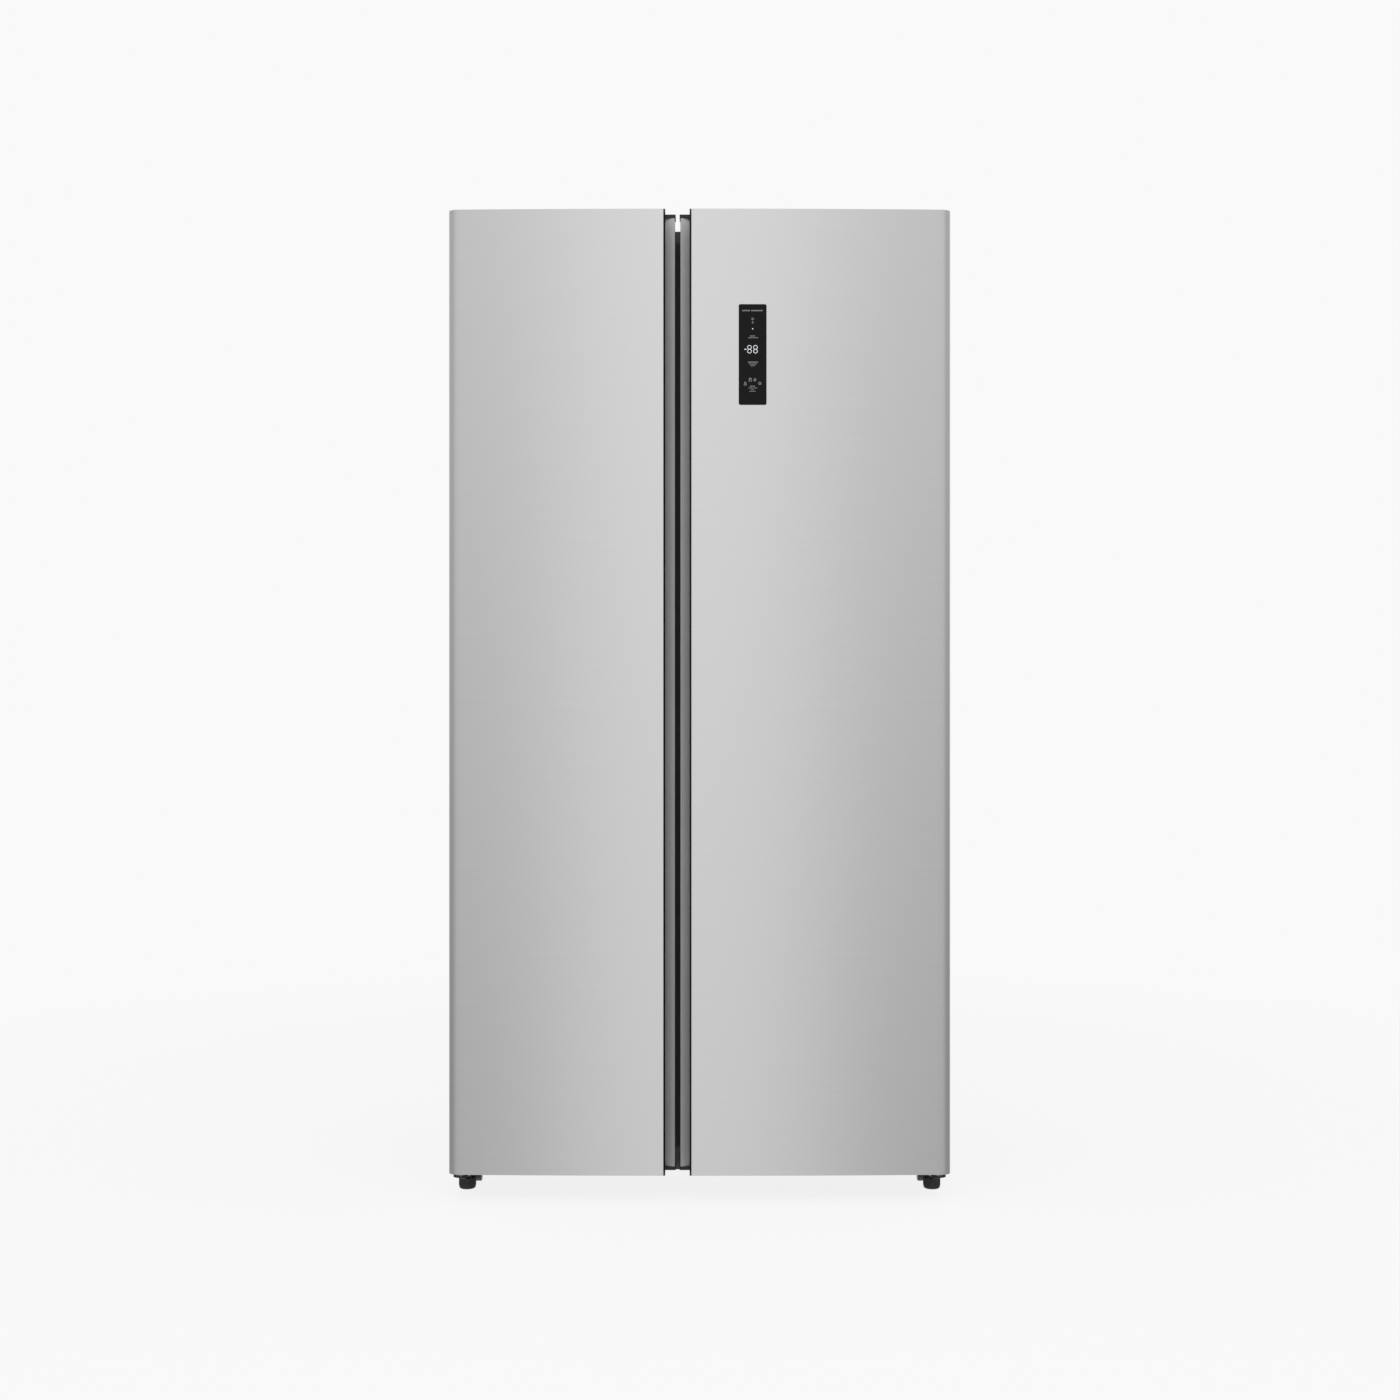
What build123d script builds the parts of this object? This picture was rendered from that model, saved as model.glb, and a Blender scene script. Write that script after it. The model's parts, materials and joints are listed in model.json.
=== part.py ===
from build123d import *
import math
import os
from dataclasses import dataclass

# Side by side refrigerator: a narrow freezer on the left and a wide fridge on the right.
# Millimetres. X runs right, Y back and Z up, from the floor in the middle of the outside box.
# The pieces of one half are drawn in u, the distance from the middle towards that half's hinges,
# and the freezer's pieces are then mirrored to the left.

# Outside
WIDTH = 908.0
DEPTH = 690.0
DOOR_TOP = 1790.0
DOOR_BOTTOM = 50.0
DOOR_THICK = 70.0
FRONT_BOW = 8.0  # the middle of the front stands this far ahead of its outer edges
CORNER_R = 18.0
PARTING_X = -40.0  # middle of the gap between the doors
SEAL_GAP = 9.0  # door back to cabinet front

# Doors
PANEL_GAP = 50.0  # between the two steel fronts
DOOR_GAP = 10.0  # between the two door sides behind the grips
SKIN_T = 0.8
CAP_T = 6.6
CAP_REACH = 1.4  # end caps stand this far out of the door side
NOSE_W = 3.0
NOSE_SET = 1.0
LIP_T = 14.0  # front lip that the fingers pull on
GRIP_DEPTH = 52.0
GRIP_TURN = math.radians(40)  # slope of the recess's back where it goes under the lip
UNDERCUT = 28.0
CHANNEL_T = 2.0
DOOR_LINER_T = 2.0
DIKE_H = 28.0
DIKE_W = 22.0
DIKE_IN_GAP = 12.0  # dike to the cavity wall on the mullion side
DIKE_GAP = 10.0
SEAL_W = 22.0
SEAL_CLEAR = 0.3
SEAL_EDGE = 2.4
SEAL_FOOT = 10.0

# Door bins
BIN_COUNT = 5
BIN_DEPTH = 95.0
BIN_H = 118.0
BIN_WALL = 2.5
BIN_CORNER = 14.0
BIN_SIDE_GAP = 0.5
BIN_RAISE = 8.0
LUG_W = 9.0
LUG_H = 6.0

# Control panel in the fridge door
CONTROL_X = 95.4
CONTROL_W = 49.8
CONTROL_H = 181.0
CONTROL_DROP = 172.0
CONTROL_CORNER = 3.0
GLASS_T = 3.0
GLASS_SET = 0.05  # behind the crown of the front, so that the flat glass stands just proud of the steel
WINDOW_CLEAR = 0.2
BOARD_MARGIN = 2.0
BOARD_T = 14.0

# Cabinet
CAB_INSET = 2.0
CAB_DROP = 22.0
SILL_DROP = 8.0
SHEET = 1.0
SIDE_FLANGE = 40.0
TOP_FLANGE = 22.0
REAR_FLANGE = 14.0
BEADS = 5  # hollows pressed across the back panel to stiffen it
BEAD_END = 72.0  # cabinet side to a bead's end
BEAD_W = 26.0
BEAD_DEPTH = 4.5
BEAM_H = 42.0
BEAM_L = 100.0
PLINTH = 18.0
DECK_T = 1.2
BASE_T = 1.5
MULLION_W = 64.0
FREEZER_WALL = 55.0
FRIDGE_WALL = 48.0
ROOF_WALL = 60.0
FLOOR_WALL = 60.0
BACK_WALL = 60.0
STEP_L = 195.0
STEP_H = 190.0
STEP_WALL = 60.0
STEP_ROOF = 48.0
LINER_T = 2.0
LIP_LAP = 10.0

# Hinges, feet and rollers
HINGE_INSET = 20.0
HINGE_BACK = 40.0
HINGE_W = 28.0
PIN_R = 5.0
PIN_FIT = 0.06
PIN_REACH = 20.0
TAIL_R = 4.0
TAIL_FIT = 0.02
BOSS_R = 12.0
BOSS_END = 4.0
COLLAR_R = 9.0
COLLAR_CLEAR = 0.3
ARM_T = 3.0
ARM_CLEAR = 1.0
RISER_SET = 4.0
HINGE_BASE_L = 86.0
HINGE_SCREWS = (0.4, 0.8)  # shares of the base's length
PIN_HEAD_R = 8.0
PIN_HEAD_T = 2.5
LOWER_PLATE_T = 2.5
LOWER_PLATE_W = 30.0
STOP_W = 5.0
STOP_H = 4.5
COVER_TOP = 1800.0
COVER_L = 98.0
COVER_W = 22.0
COVER_WALL = 2.0
COVER_GAP = 0.5
COVER_CORNER = 5.0
SCREW_R = 2.5
SCREW_FIT = 0.1
SCREW_HEAD_R = 5.0
SCREW_HEAD_T = 2.4
CROSS_L = 5.5
CROSS_W = 1.0
FOOT_INSET = 3.0  # from the hinge axis
FOOT_BACK = 32.0
FOOT_R = 15.4
FOOT_H = 19.5
FOOT_EDGE = 4.0
STEM_R = 3.0
STEM_FIT = 0.06
STEM_TOP_GAP = 4.0
NUT_R = 6.0
NUT_T = 4.0
NUT_GAP = 0.5  # to the hinge plate
ROLLER_R = 18.0
ROLLER_W = 18.0
ROLLER_EDGE = 2.0
ROLLER_LIFT = 2.3  # front rollers hang this far off the floor
ROLLER_SIDE_GAP = 0.8
ROLLER_BACK = 44.0
ROLLER_STEP = 13.0
REAR_ROLLER_INSET = 52.0
REAR_ROLLER_FWD = 59.0
AXLE_R = 4.0
AXLE_FIT = 0.06
BRACKET_T = 1.5
BRACKET_L = 30.0
BRACKET_TAIL = 7.0

# Shelves and drawers
SHELF_COUNT = 5
SHELF_SET = 106.0  # cabinet front to shelf glass
GLASS_SHELF_T = 4.0
SHELF_SIDE_GAP = 1.0
SHELF_BACK_GAP = 3.0
TRIM_D = 14.0
TRIM_BITE = 2.0
TRIM_OVER = 4.0
RIB_W = 8.0
RIB_H = 6.0
DRAWER_WALL = 2.5
DRAWER_CORNER = 12.0
DRAWER_SET = 10.0  # behind the shelf glass front
DRAWER_SIDE_GAP = 1.5
DRAWER_BACK_GAP = 6.0
DRAWER_LIP_T = 4.0
DRAWER_LIP_SET = 100.0  # behind the drawer's front, so the lips stay in the cabinet at full travel
RUN_CLEAR = 0.3
LOWER_DRAWER_RAISE = 4.0
LOWER_DRAWER_DROP = 10.0
UPPER_DRAWER_RAISE = 8.0
UPPER_DRAWER_H = 187.0
SHELF_OVER_DRAWER = 15.0
PULL_W = 160.0
PULL_D = 10.0
PULL_H = 18.0
PULL_WALL = 2.5
LAMP_W = 140.0
LAMP_D = 40.0
LAMP_T = 5.0
LAMP_SET = 146.0
LAMP_CORNER = 6.0

# Cooling inside the cabinet
EVAP_ROOM = 80.0
EVAP_COVER_T = 3.0
EVAP_COVER_H = 810.0
EVAP_SIDE_GAP = 1.0
EVAP_RAISE = 120.0
EVAP_W = 280.0
EVAP_D = 54.0
EVAP_H = 370.0
EVAP_FINS = 17
EVAP_ROWS = 8
EVAP_OFF = 2.0
FIN_T = 1.0
TUBE_R = 4.0
EVAP_FAN_RAISE = 640.0
EVAP_FAN_R = 52.0
FAN_SET = 8.0
FAN_W = 20.0
FAN_HUB_R = 16.0
FAN_BLADES = 6
BLADE_T = 2.0
BLADE_CHORD = 30.0
BLADE_PITCH = 32.0
SHAFT_R = 2.5
SHAFT_FIT = 0.05
MOTOR_GAP = 3.0
MOTOR_R = 22.0
MOTOR_L = 22.0
MOTOR_POST_R = 10.0
VENT_H = 6.0
VENT_PITCH = 14.0
VENT_W = 150.0
VENT_ROWS = 7
DUCT_W = 180.0
DUCT_D = 33.0
DUCT_T = 3.0
DUCT_FOOT = 20.0
DUCT_HEAD = 18.0
OUTLET_W = 120.0
OUTLET_ROWS = 2

# Machine room
ROOM_SET = 16.0  # back edge to the louvred cover
COVER_SHEET = 1.5
COMPRESSOR_WALL = 224.0  # side of the appliance to the compressor's middle
COMPRESSOR_R = 70.0
COMPRESSOR_H = 140.0
COMPRESSOR_DOME = 36.0
COMPRESSOR_FOOT_W = 170.0
COMPRESSOR_FOOT_D = 120.0
COMPRESSOR_FOOT_T = 3.0
PORT_L = 12.0
PORT_R = 8.0
PORT_RAISE = 70.0
GROMMET_R = 12.0
GROMMET_H = 14.0
GROMMET_INSET = 14.0
CONDENSER_WALL = 54.0
CONDENSER_W = 280.0
CONDENSER_TOP_GAP = 40.0
CONDENSER_END_GAP = 16.0
CONDENSER_SHEET = 2.0
CONDENSER_FINS = 11
CONDENSER_COLUMNS = 6
CONDENSER_ROWS = 3
TRAY_INSET = 10.0
TRAY_H = 30.0
TRAY_CLEAR = 8.0
TRAY_WALL = 2.0
TRAY_CORNER = 6.0
SHROUD_GAP = 42.0
SHROUD_T = 3.0
SHROUD_TOP_GAP = 40.0
SHROUD_CLEAR = 4.0
SHROUD_ARM_W = 10.0
COND_FAN_R = 62.0
COND_FAN_RAISE = 106.0
BOX_GAP = 110.0  # from the compressor's middle
BOX_W = 140.0
BOX_D = 48.0
BOX_RAISE = 76.0
BOX_H = 110.0
BOX_LID = 4.0
BOX_RIM = 2.0
PIPE_RUN = 18.0
PIPE_BEND = 10.0
PIPE_CLEAR = 24.0
LOUVRE_W = 70.0
LOUVRE_H = 5.0
LOUVRE_PITCH_X = 90.0
LOUVRE_PITCH_Z = 14.0
LOUVRE_COLUMNS = 8
LOUVRE_ROWS = 9
LOUVRE_RAISE = 60.0
GLAND_WALL = 44.0
GLAND_RAISE = 40.0
GLAND_R = 9.0
GLAND_BORE_R = 4.0
GLAND_FLANGE_R = 14.0
GLAND_FLANGE_T = 4.0
GLAND_FIT = 0.1
GLAND_TAIL = 6.0
COVER_SCREW_INSET = 12.0
COVER_SCREWS = 4

# Worked out from the sizes above
OUTER = WIDTH / 2
COMPRESSOR_X = COMPRESSOR_WALL - OUTER
CONDENSER_X1 = OUTER - CONDENSER_WALL
CONDENSER_X0 = CONDENSER_X1 - CONDENSER_W
SHROUD_X = CONDENSER_X0 - SHROUD_GAP
BOX_X0 = COMPRESSOR_X + BOX_GAP
BOX_X1 = BOX_X0 + BOX_W
GLAND_X = GLAND_WALL - OUTER
FRONT_Y = -DEPTH / 2
BACK_Y = DEPTH / 2
BOW_R = (OUTER**2 + FRONT_BOW**2) / (2 * FRONT_BOW)
GLASS_Y = FRONT_Y + GLASS_SET
DOOR_BACK = FRONT_Y + DOOR_THICK
CAB_FRONT = DOOR_BACK + SEAL_GAP
CAB_HALF = OUTER - CAB_INSET
INNER_HALF = CAB_HALF - SHEET
CAB_TOP = DOOR_TOP - CAB_DROP
CAB_BOTTOM = DOOR_BOTTOM - SILL_DROP
DECK_Z = CAB_BOTTOM + PLINTH
LIP_Y = CAB_FRONT + SHEET
FLANGE_U = CAB_HALF - SIDE_FLANGE
BEAM_TOP = CAB_BOTTOM + BEAM_H
FLANGE_Z = CAB_TOP - TOP_FLANGE
CAVITY_BOTTOM = DECK_Z + FLOOR_WALL
CAVITY_TOP = CAB_TOP - ROOF_WALL
CAVITY_BACK = BACK_Y - BACK_WALL
STEP_Y = CAVITY_BACK - STEP_L
STEP_Z = CAVITY_BOTTOM + STEP_H
PANEL_Y = BACK_Y - 2 * SHEET
ROOM_FRONT = STEP_Y + STEP_WALL
ROOM_TOP = STEP_Z - STEP_ROOF
ROOM_BACK = BACK_Y - ROOM_SET
ROOM_FLOOR = CAB_BOTTOM + BASE_T
ROOM_MID_Y = (ROOM_FRONT + DECK_T + ROOM_BACK) / 2
HINGE_U = OUTER - HINGE_INSET
HINGE_Y = FRONT_Y + HINGE_BACK
ARM_Z = DOOR_TOP + ARM_CLEAR
RISER_Y = CAB_FRONT + RISER_SET
SHELF_FRONT = CAB_FRONT + SHELF_SET
UPPER_DRAWER_TOP = STEP_Z + UPPER_DRAWER_RAISE + UPPER_DRAWER_H
SHELF_FIRST = UPPER_DRAWER_TOP + SHELF_OVER_DRAWER
SHELF_PITCH = (CAVITY_TOP - SHELF_FIRST) / SHELF_COUNT
EVAP_FRONT = CAVITY_BACK - EVAP_ROOM
COND_FAN_Z = CAB_BOTTOM + COND_FAN_RAISE
FOOT_U = HINGE_U - FOOT_INSET
FOOT_Y = CAB_FRONT + FOOT_BACK


@dataclass
class Half:
    """One half of the appliance, with its outer insulation wall and what stands behind its shelves."""

    name: str
    sign: int
    wall: float
    shelf_back: float

    @property
    def middle(self):
        return self.sign * PARTING_X

    @property
    def panel_edge(self):
        return self.middle + PANEL_GAP / 2

    @property
    def inner_edge(self):
        return self.middle + DOOR_GAP / 2

    @property
    def cavity_in(self):
        return self.middle + MULLION_W / 2

    @property
    def cavity_out(self):
        return CAB_HALF - self.wall

    @property
    def cavity_mid(self):
        return (self.cavity_in + self.cavity_out) / 2


FREEZER = Half("freezer", -1, FREEZER_WALL, EVAP_FRONT)
FRIDGE = Half("fridge", 1, FRIDGE_WALL, CAVITY_BACK - DUCT_D)
HALVES = (FREEZER, FRIDGE)


# Small shapes

def block(x0, x1, y0, y1, z0, z1):
    """Box between two corners."""
    middle = Pos((x0 + x1) / 2, (y0 + y1) / 2, (z0 + z1) / 2)
    return middle * Box(x1 - x0, y1 - y0, z1 - z0)


def rect(x0, x1, y0, y1):
    """Flat rectangle between two corners."""
    return Pos((x0 + x1) / 2, (y0 + y1) / 2) * Rectangle(x1 - x0, y1 - y0)


def rounded(x0, x1, y0, y1, radius):
    """Flat rectangle with round corners."""
    return Pos((x0 + x1) / 2, (y0 + y1) / 2) * RectangleRounded(x1 - x0, y1 - y0, radius)


def upright(plan, z0, z1):
    """Solid with a flat plan, between two heights."""
    return Pos(0, 0, z0) * extrude(plan, z1 - z0, dir=(0, 0, 1))


def profile_x(points, x0, x1):
    """Solid with a side outline of (y, z) points, from x0 to x1."""
    outline = Plane.YZ * Polygon(*points, align=None)
    return Pos(x0, 0, 0) * extrude(outline, x1 - x0, dir=(1, 0, 0))


def rod(start, end, radius):
    """Round bar between two points."""
    along = Vector(*end) - Vector(*start)
    bar = Cylinder(radius, along.length, align=(Align.CENTER, Align.CENTER, Align.MIN))
    return Plane(origin=start, z_dir=along) * bar


def tub(x0, x1, y0, y1, z0, z1, wall, radius):
    """Open box with round corners."""
    outside = upright(rounded(x0, x1, y0, y1, radius), z0, z1)
    plan = rounded(x0 + wall, x1 - wall, y0 + wall, y1 - wall, radius - wall)
    return outside - upright(plan, z0 + wall, z1)


def place(half, solid):
    """Put a piece drawn in u on its own half."""
    if half.sign > 0:
        return solid
    return mirror(solid, about=Plane.YZ)


def both_sides(solid):
    """The piece on the right and its mirror image on the left."""
    return [solid, mirror(solid, about=Plane.YZ)]


def save(name, *solids):
    """Write one node with all its separate solids."""
    pieces = [solid for item in solids for solid in item.solids()]
    shape = pieces[0] if len(pieces) == 1 else Compound(children=pieces)
    export_step(shape, os.path.join("parts", name + ".step"))


# Door plan

def bow_y(u, inset):
    """Y of the bowed front, sunk by inset."""
    return FRONT_Y + BOW_R - math.sqrt((BOW_R - inset) ** 2 - u**2)


def bow_arc(u0, u1, inset):
    """Arc of the bowed front between two places."""
    points = [(u, bow_y(u, inset)) for u in (u0, (u0 + u1) / 2, u1)]
    return ThreePointArc(*points)


def behind_front(inset, u0, u1, y_back):
    """Plan of all that lies behind the bowed front, with the outer corner rounded."""
    start = (u0, bow_y(u0, inset))
    corner = (u1, bow_y(u1, inset))
    sides = Polyline(corner, (u1, y_back), (u0, y_back), start)
    plan = make_face([bow_arc(u0, u1, inset)] + sides.edges())
    vertex = plan.vertices().sort_by_distance(corner)[0]
    return fillet(vertex, CORNER_R - inset)


def grip_shoulder(half):
    """Convex back of the recess, flat at the door's side: its middle, its radius and where it meets the deep end."""
    radius = (GRIP_DEPTH - LIP_T) / 2
    centre = half.panel_edge + UNDERCUT - radius
    meet = (centre - radius * math.sin(GRIP_TURN), FRONT_Y + LIP_T + radius * (1 + math.cos(GRIP_TURN)))
    shoulder = (meet[0] - half.inner_edge) / math.sin(GRIP_TURN)
    return meet[1] + shoulder * math.cos(GRIP_TURN), shoulder, meet


def grip_void(half, wall, nose):
    """Plan of the finger recess, grown by the channel wall and by the nose."""
    front = FRONT_Y + LIP_T
    radius = (GRIP_DEPTH - LIP_T) / 2
    centre = half.panel_edge + UNDERCUT - radius
    side = half.inner_edge
    start = side - DOOR_GAP / 2
    brow, shoulder, meet = grip_shoulder(half)
    on_brow = (side + shoulder * math.sin(GRIP_TURN / 2), brow - shoulder * math.cos(GRIP_TURN / 2))
    deep_end = ThreePointArc((centre, front), (centre + radius, front + radius), meet)
    back = ThreePointArc(meet, on_brow, (side, brow - shoulder))
    rest = Polyline((side, brow - shoulder), (start, brow - shoulder), (start, front), (centre, front))
    slot = make_face([deep_end, back] + rest.edges())
    if wall:
        slot = offset(slot, wall)
    mouth = rect(start, half.panel_edge - NOSE_W + nose, FRONT_Y - FRONT_BOW, front + radius)
    return slot + mouth


# Doors

def control_prism(grow, y0, y1):
    """Round-cornered window outline through the front."""
    half_w = CONTROL_W / 2 + grow
    top = DOOR_TOP - CONTROL_DROP
    plan = rounded(CONTROL_X - half_w, CONTROL_X + half_w, top - CONTROL_H - grow, top + grow,
                   CONTROL_CORNER + grow)
    return Pos(0, y0, 0) * extrude(Plane.XZ * plan, y1 - y0, dir=(0, 1, 0))


def control_glass():
    return control_prism(0, GLASS_Y, GLASS_Y + GLASS_T)


def display_board():
    back = GLASS_Y + GLASS_T
    return control_prism(-BOARD_MARGIN, back, back + BOARD_T)


def door_skin(half):
    outside = behind_front(0, half.panel_edge, OUTER, DOOR_BACK)
    inside = behind_front(SKIN_T, half.panel_edge, OUTER - SKIN_T, DOOR_BACK)
    skin = upright(outside - inside, DOOR_BOTTOM, DOOR_TOP)
    if half is FRIDGE:
        skin -= control_prism(WINDOW_CLEAR, FRONT_Y - FRONT_BOW, FRONT_Y + LIP_T)
    return skin


def hinge_boss(radius, door_end, inward):
    """Upright cylinder on the hinge axis, from a door end into the door."""
    depth = PIN_REACH + BOSS_END
    return rod((HINGE_U, HINGE_Y, door_end), (HINGE_U, HINGE_Y, door_end + inward * depth), radius)


def end_caps(half):
    """Plates that close the door's ends, cut straight across the recess, each with a boss for its hinge pin."""
    inside = behind_front(SKIN_T, half.inner_edge - CAP_REACH, OUTER - SKIN_T, DOOR_BACK)
    brow, shoulder, _ = grip_shoulder(half)
    mouth = grip_void(half, 0, 0) & rect(half.inner_edge - DOOR_GAP, OUTER, FRONT_Y - FRONT_BOW, brow - shoulder)
    plan = inside - mouth
    caps = []
    for z0, z1, inward in ((DOOR_BOTTOM, DOOR_BOTTOM + CAP_T, 1), (DOOR_TOP, DOOR_TOP - CAP_T, -1)):
        plate = upright(plan, min(z0, z1), max(z0, z1))
        caps.append(plate + hinge_boss(BOSS_R, z0, inward) - hinge_boss(PIN_R + PIN_FIT, z0, inward))
    return caps


def grip_channel(half):
    """Extrusion that lines the finger recess and closes the door's side."""
    grown = grip_void(half, CHANNEL_T, NOSE_W) - grip_void(half, 0, 0)
    nose_y = bow_y(half.panel_edge, 0) + NOSE_SET
    grip_back = FRONT_Y + GRIP_DEPTH
    end = half.panel_edge + UNDERCUT + CHANNEL_T
    plan = grown & rect(half.inner_edge, end, nose_y, grip_back + CHANNEL_T)
    brow, shoulder, _ = grip_shoulder(half)
    plan += rect(half.inner_edge, half.inner_edge + CHANNEL_T, brow - shoulder, DOOR_BACK)
    return upright(plan - grip_void(half, 0, 0), DOOR_BOTTOM + CAP_T, DOOR_TOP - CAP_T)


def dike_edges(half):
    """Outer edges of the raised ring on the door's inside: u from and to, z from and to."""
    return (half.cavity_in + DIKE_IN_GAP, half.cavity_out - DIKE_GAP,
            CAVITY_BOTTOM + DIKE_GAP, CAVITY_TOP - DIKE_GAP)


def dike(half, inset):
    """Raised ring on the door's inside, shrunk by inset."""
    u0, u1, z0, z1 = dike_edges(half)
    y0 = DOOR_BACK - DOOR_LINER_T
    y1 = DOOR_BACK + DIKE_H - inset
    width = DIKE_W - inset
    outside = block(u0 + inset, u1 - inset, y0, y1, z0 + inset, z1 - inset)
    return outside - block(u0 + width, u1 - width, y0, y1, z0 + width, z1 - width)


def door_foam(half):
    """Insulation between skin, caps, channel and inner liner."""
    start = half.inner_edge + CHANNEL_T
    plan = behind_front(SKIN_T, start, OUTER - SKIN_T, DOOR_BACK - DOOR_LINER_T)
    foam = upright(plan - grip_void(half, CHANNEL_T, NOSE_W), DOOR_BOTTOM + CAP_T, DOOR_TOP - CAP_T)
    foam += dike(half, DOOR_LINER_T)
    foam -= hinge_boss(BOSS_R, DOOR_BOTTOM, 1)
    foam -= hinge_boss(BOSS_R, DOOR_TOP, -1)
    if half is FRIDGE:
        foam -= control_prism(WINDOW_CLEAR, FRONT_Y - FRONT_BOW, GLASS_Y + GLASS_T)
        foam -= display_board()
    return foam


def bin_places(half):
    """Edges of the bins between the dike's posts, and the height of each bin's floor."""
    u0, u1, z0, z1 = dike_edges(half)
    bay = (z1 - z0 - 2 * DIKE_W) / BIN_COUNT
    floors = [z0 + DIKE_W + BIN_RAISE + i * bay for i in range(BIN_COUNT)]
    return u0 + DIKE_W, u1 - DIKE_W, floors


def door_liner(half):
    """Vacuum-formed inside of the door: sheet, dike and the lugs that carry the bins."""
    start = half.inner_edge + CHANNEL_T
    sheet = block(start, OUTER - SKIN_T, DOOR_BACK - DOOR_LINER_T, DOOR_BACK,
                  DOOR_BOTTOM + CAP_T, DOOR_TOP - CAP_T)
    liner = sheet + dike(half, 0) - dike(half, DOOR_LINER_T)
    u0, u1, floors = bin_places(half)
    for z in floors:
        for u in (u0, u1 - LUG_W):
            liner += block(u, u + LUG_W, DOOR_BACK, DOOR_BACK + DIKE_H, z - LUG_H, z)
    return liner


def door_bins(half):
    u0, u1, floors = bin_places(half)
    return [tub(u0 + BIN_SIDE_GAP, u1 - BIN_SIDE_GAP, DOOR_BACK, DOOR_BACK + BIN_DEPTH, z, z + BIN_H,
                BIN_WALL, BIN_CORNER) for z in floors]


def door_gasket(half):
    """Magnetic seal ring, no further out than the hinge axis so that it swings clear."""
    u0, u1 = half.inner_edge + SEAL_EDGE, HINGE_U
    z0, z1 = DOOR_BOTTOM + SEAL_FOOT, CAB_TOP - SEAL_EDGE
    y0, y1 = DOOR_BACK, CAB_FRONT - SEAL_CLEAR
    ring = block(u0, u1, y0, y1, z0, z1)
    return ring - block(u0 + SEAL_W, u1 - SEAL_W, y0, y1, z0 + SEAL_W, z1 - SEAL_W)


# Cabinet

def cabinet_wrapper():
    """Folded sheet: two sides and the top, with flanges at the front and the back."""
    shell = block(-CAB_HALF, CAB_HALF, CAB_FRONT, BACK_Y, CAB_BOTTOM, CAB_TOP)
    shell -= block(-INNER_HALF, INNER_HALF, CAB_FRONT, BACK_Y, CAB_BOTTOM, CAB_TOP - SHEET)
    front = block(-CAB_HALF, CAB_HALF, CAB_FRONT, LIP_Y, CAB_BOTTOM, CAB_TOP)
    front -= block(-FLANGE_U, FLANGE_U, CAB_FRONT, LIP_Y, CAB_BOTTOM, FLANGE_Z)
    inner = CAB_HALF - REAR_FLANGE
    rear = block(-CAB_HALF, CAB_HALF, BACK_Y - SHEET, BACK_Y, ROOM_TOP, CAB_TOP)
    rear -= block(-inner, inner, BACK_Y - SHEET, BACK_Y, ROOM_TOP, CAB_TOP - REAR_FLANGE)
    wrapper = shell + front + rear
    for hole in top_hinge_screws(SCREW_R + SCREW_FIT):
        wrapper -= hole
    return wrapper


def back_beads(wall):
    """Round-ended bars that press the hollows into the back panel, grown by the wall."""
    radius = ((BEAD_W / 2) ** 2 + BEAD_DEPTH**2) / (2 * BEAD_DEPTH)
    y = PANEL_Y + SHEET + radius - BEAD_DEPTH
    end = CAB_HALF - BEAD_END - BEAD_W / 2
    pitch = (CAB_TOP - ROOM_TOP) / BEADS
    bars = []
    for i in range(BEADS):
        z = ROOM_TOP + (i + 0.5) * pitch
        bar = rod((-end, y, z), (end, y, z), radius + wall)
        for x in (-end, end):
            bar += Pos(x, y, z) * Sphere(radius + wall)
        bars.append(bar)
    return bars


def back_panel():
    panel = block(-INNER_HALF, INNER_HALF, PANEL_Y, PANEL_Y + SHEET, ROOM_TOP, CAB_TOP - SHEET)
    inside = block(-INNER_HALF, INNER_HALF, PANEL_Y - BEAD_DEPTH, PANEL_Y + SHEET, ROOM_TOP, CAB_TOP - SHEET)
    for hollow, pressed in zip(back_beads(0), back_beads(SHEET)):
        panel = panel + pressed.intersect(inside) - hollow
    return panel


def base_deck():
    """Bottom sheet that steps up over the machine room."""
    points = [(LIP_Y, DECK_Z), (ROOM_FRONT + DECK_T, DECK_Z), (ROOM_FRONT + DECK_T, ROOM_TOP),
              (PANEL_Y, ROOM_TOP), (PANEL_Y, ROOM_TOP + DECK_T), (ROOM_FRONT, ROOM_TOP + DECK_T),
              (ROOM_FRONT, DECK_Z + DECK_T), (LIP_Y, DECK_Z + DECK_T)]
    return profile_x(points, -INNER_HALF, INNER_HALF)


def front_crossbeam():
    """Angle under the doors that carries the lower hinges and the feet."""
    wall = block(-FLANGE_U, FLANGE_U, CAB_FRONT, LIP_Y, CAB_BOTTOM, BEAM_TOP)
    floor = block(-INNER_HALF, INNER_HALF, LIP_Y, CAB_FRONT + BEAM_L, CAB_BOTTOM, CAB_BOTTOM + SHEET)
    beam = wall + floor
    stem = rod((FOOT_U, FOOT_Y, 0), (FOOT_U, FOOT_Y, DECK_Z), STEM_R + STEM_FIT)
    for hole in both_sides(stem) + lower_hinge_screws(SCREW_R + SCREW_FIT):
        beam -= hole
    return beam


def mullion_strip():
    half_w = MULLION_W / 2
    return block(PARTING_X - half_w, PARTING_X + half_w, CAB_FRONT, LIP_Y, BEAM_TOP, FLANGE_Z)


def cavity(half, grow):
    """Space inside a compartment, with the step over the machine room, grown by a wall."""
    back, floor, roof = CAVITY_BACK + grow, CAVITY_BOTTOM - grow, CAVITY_TOP + grow
    step_y, step_z = STEP_Y + grow, STEP_Z - grow
    points = [(LIP_Y, floor), (step_y, floor), (step_y, step_z), (back, step_z), (back, roof),
              (LIP_Y, roof)]
    return profile_x(points, half.cavity_in - grow, half.cavity_out + grow)


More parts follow.
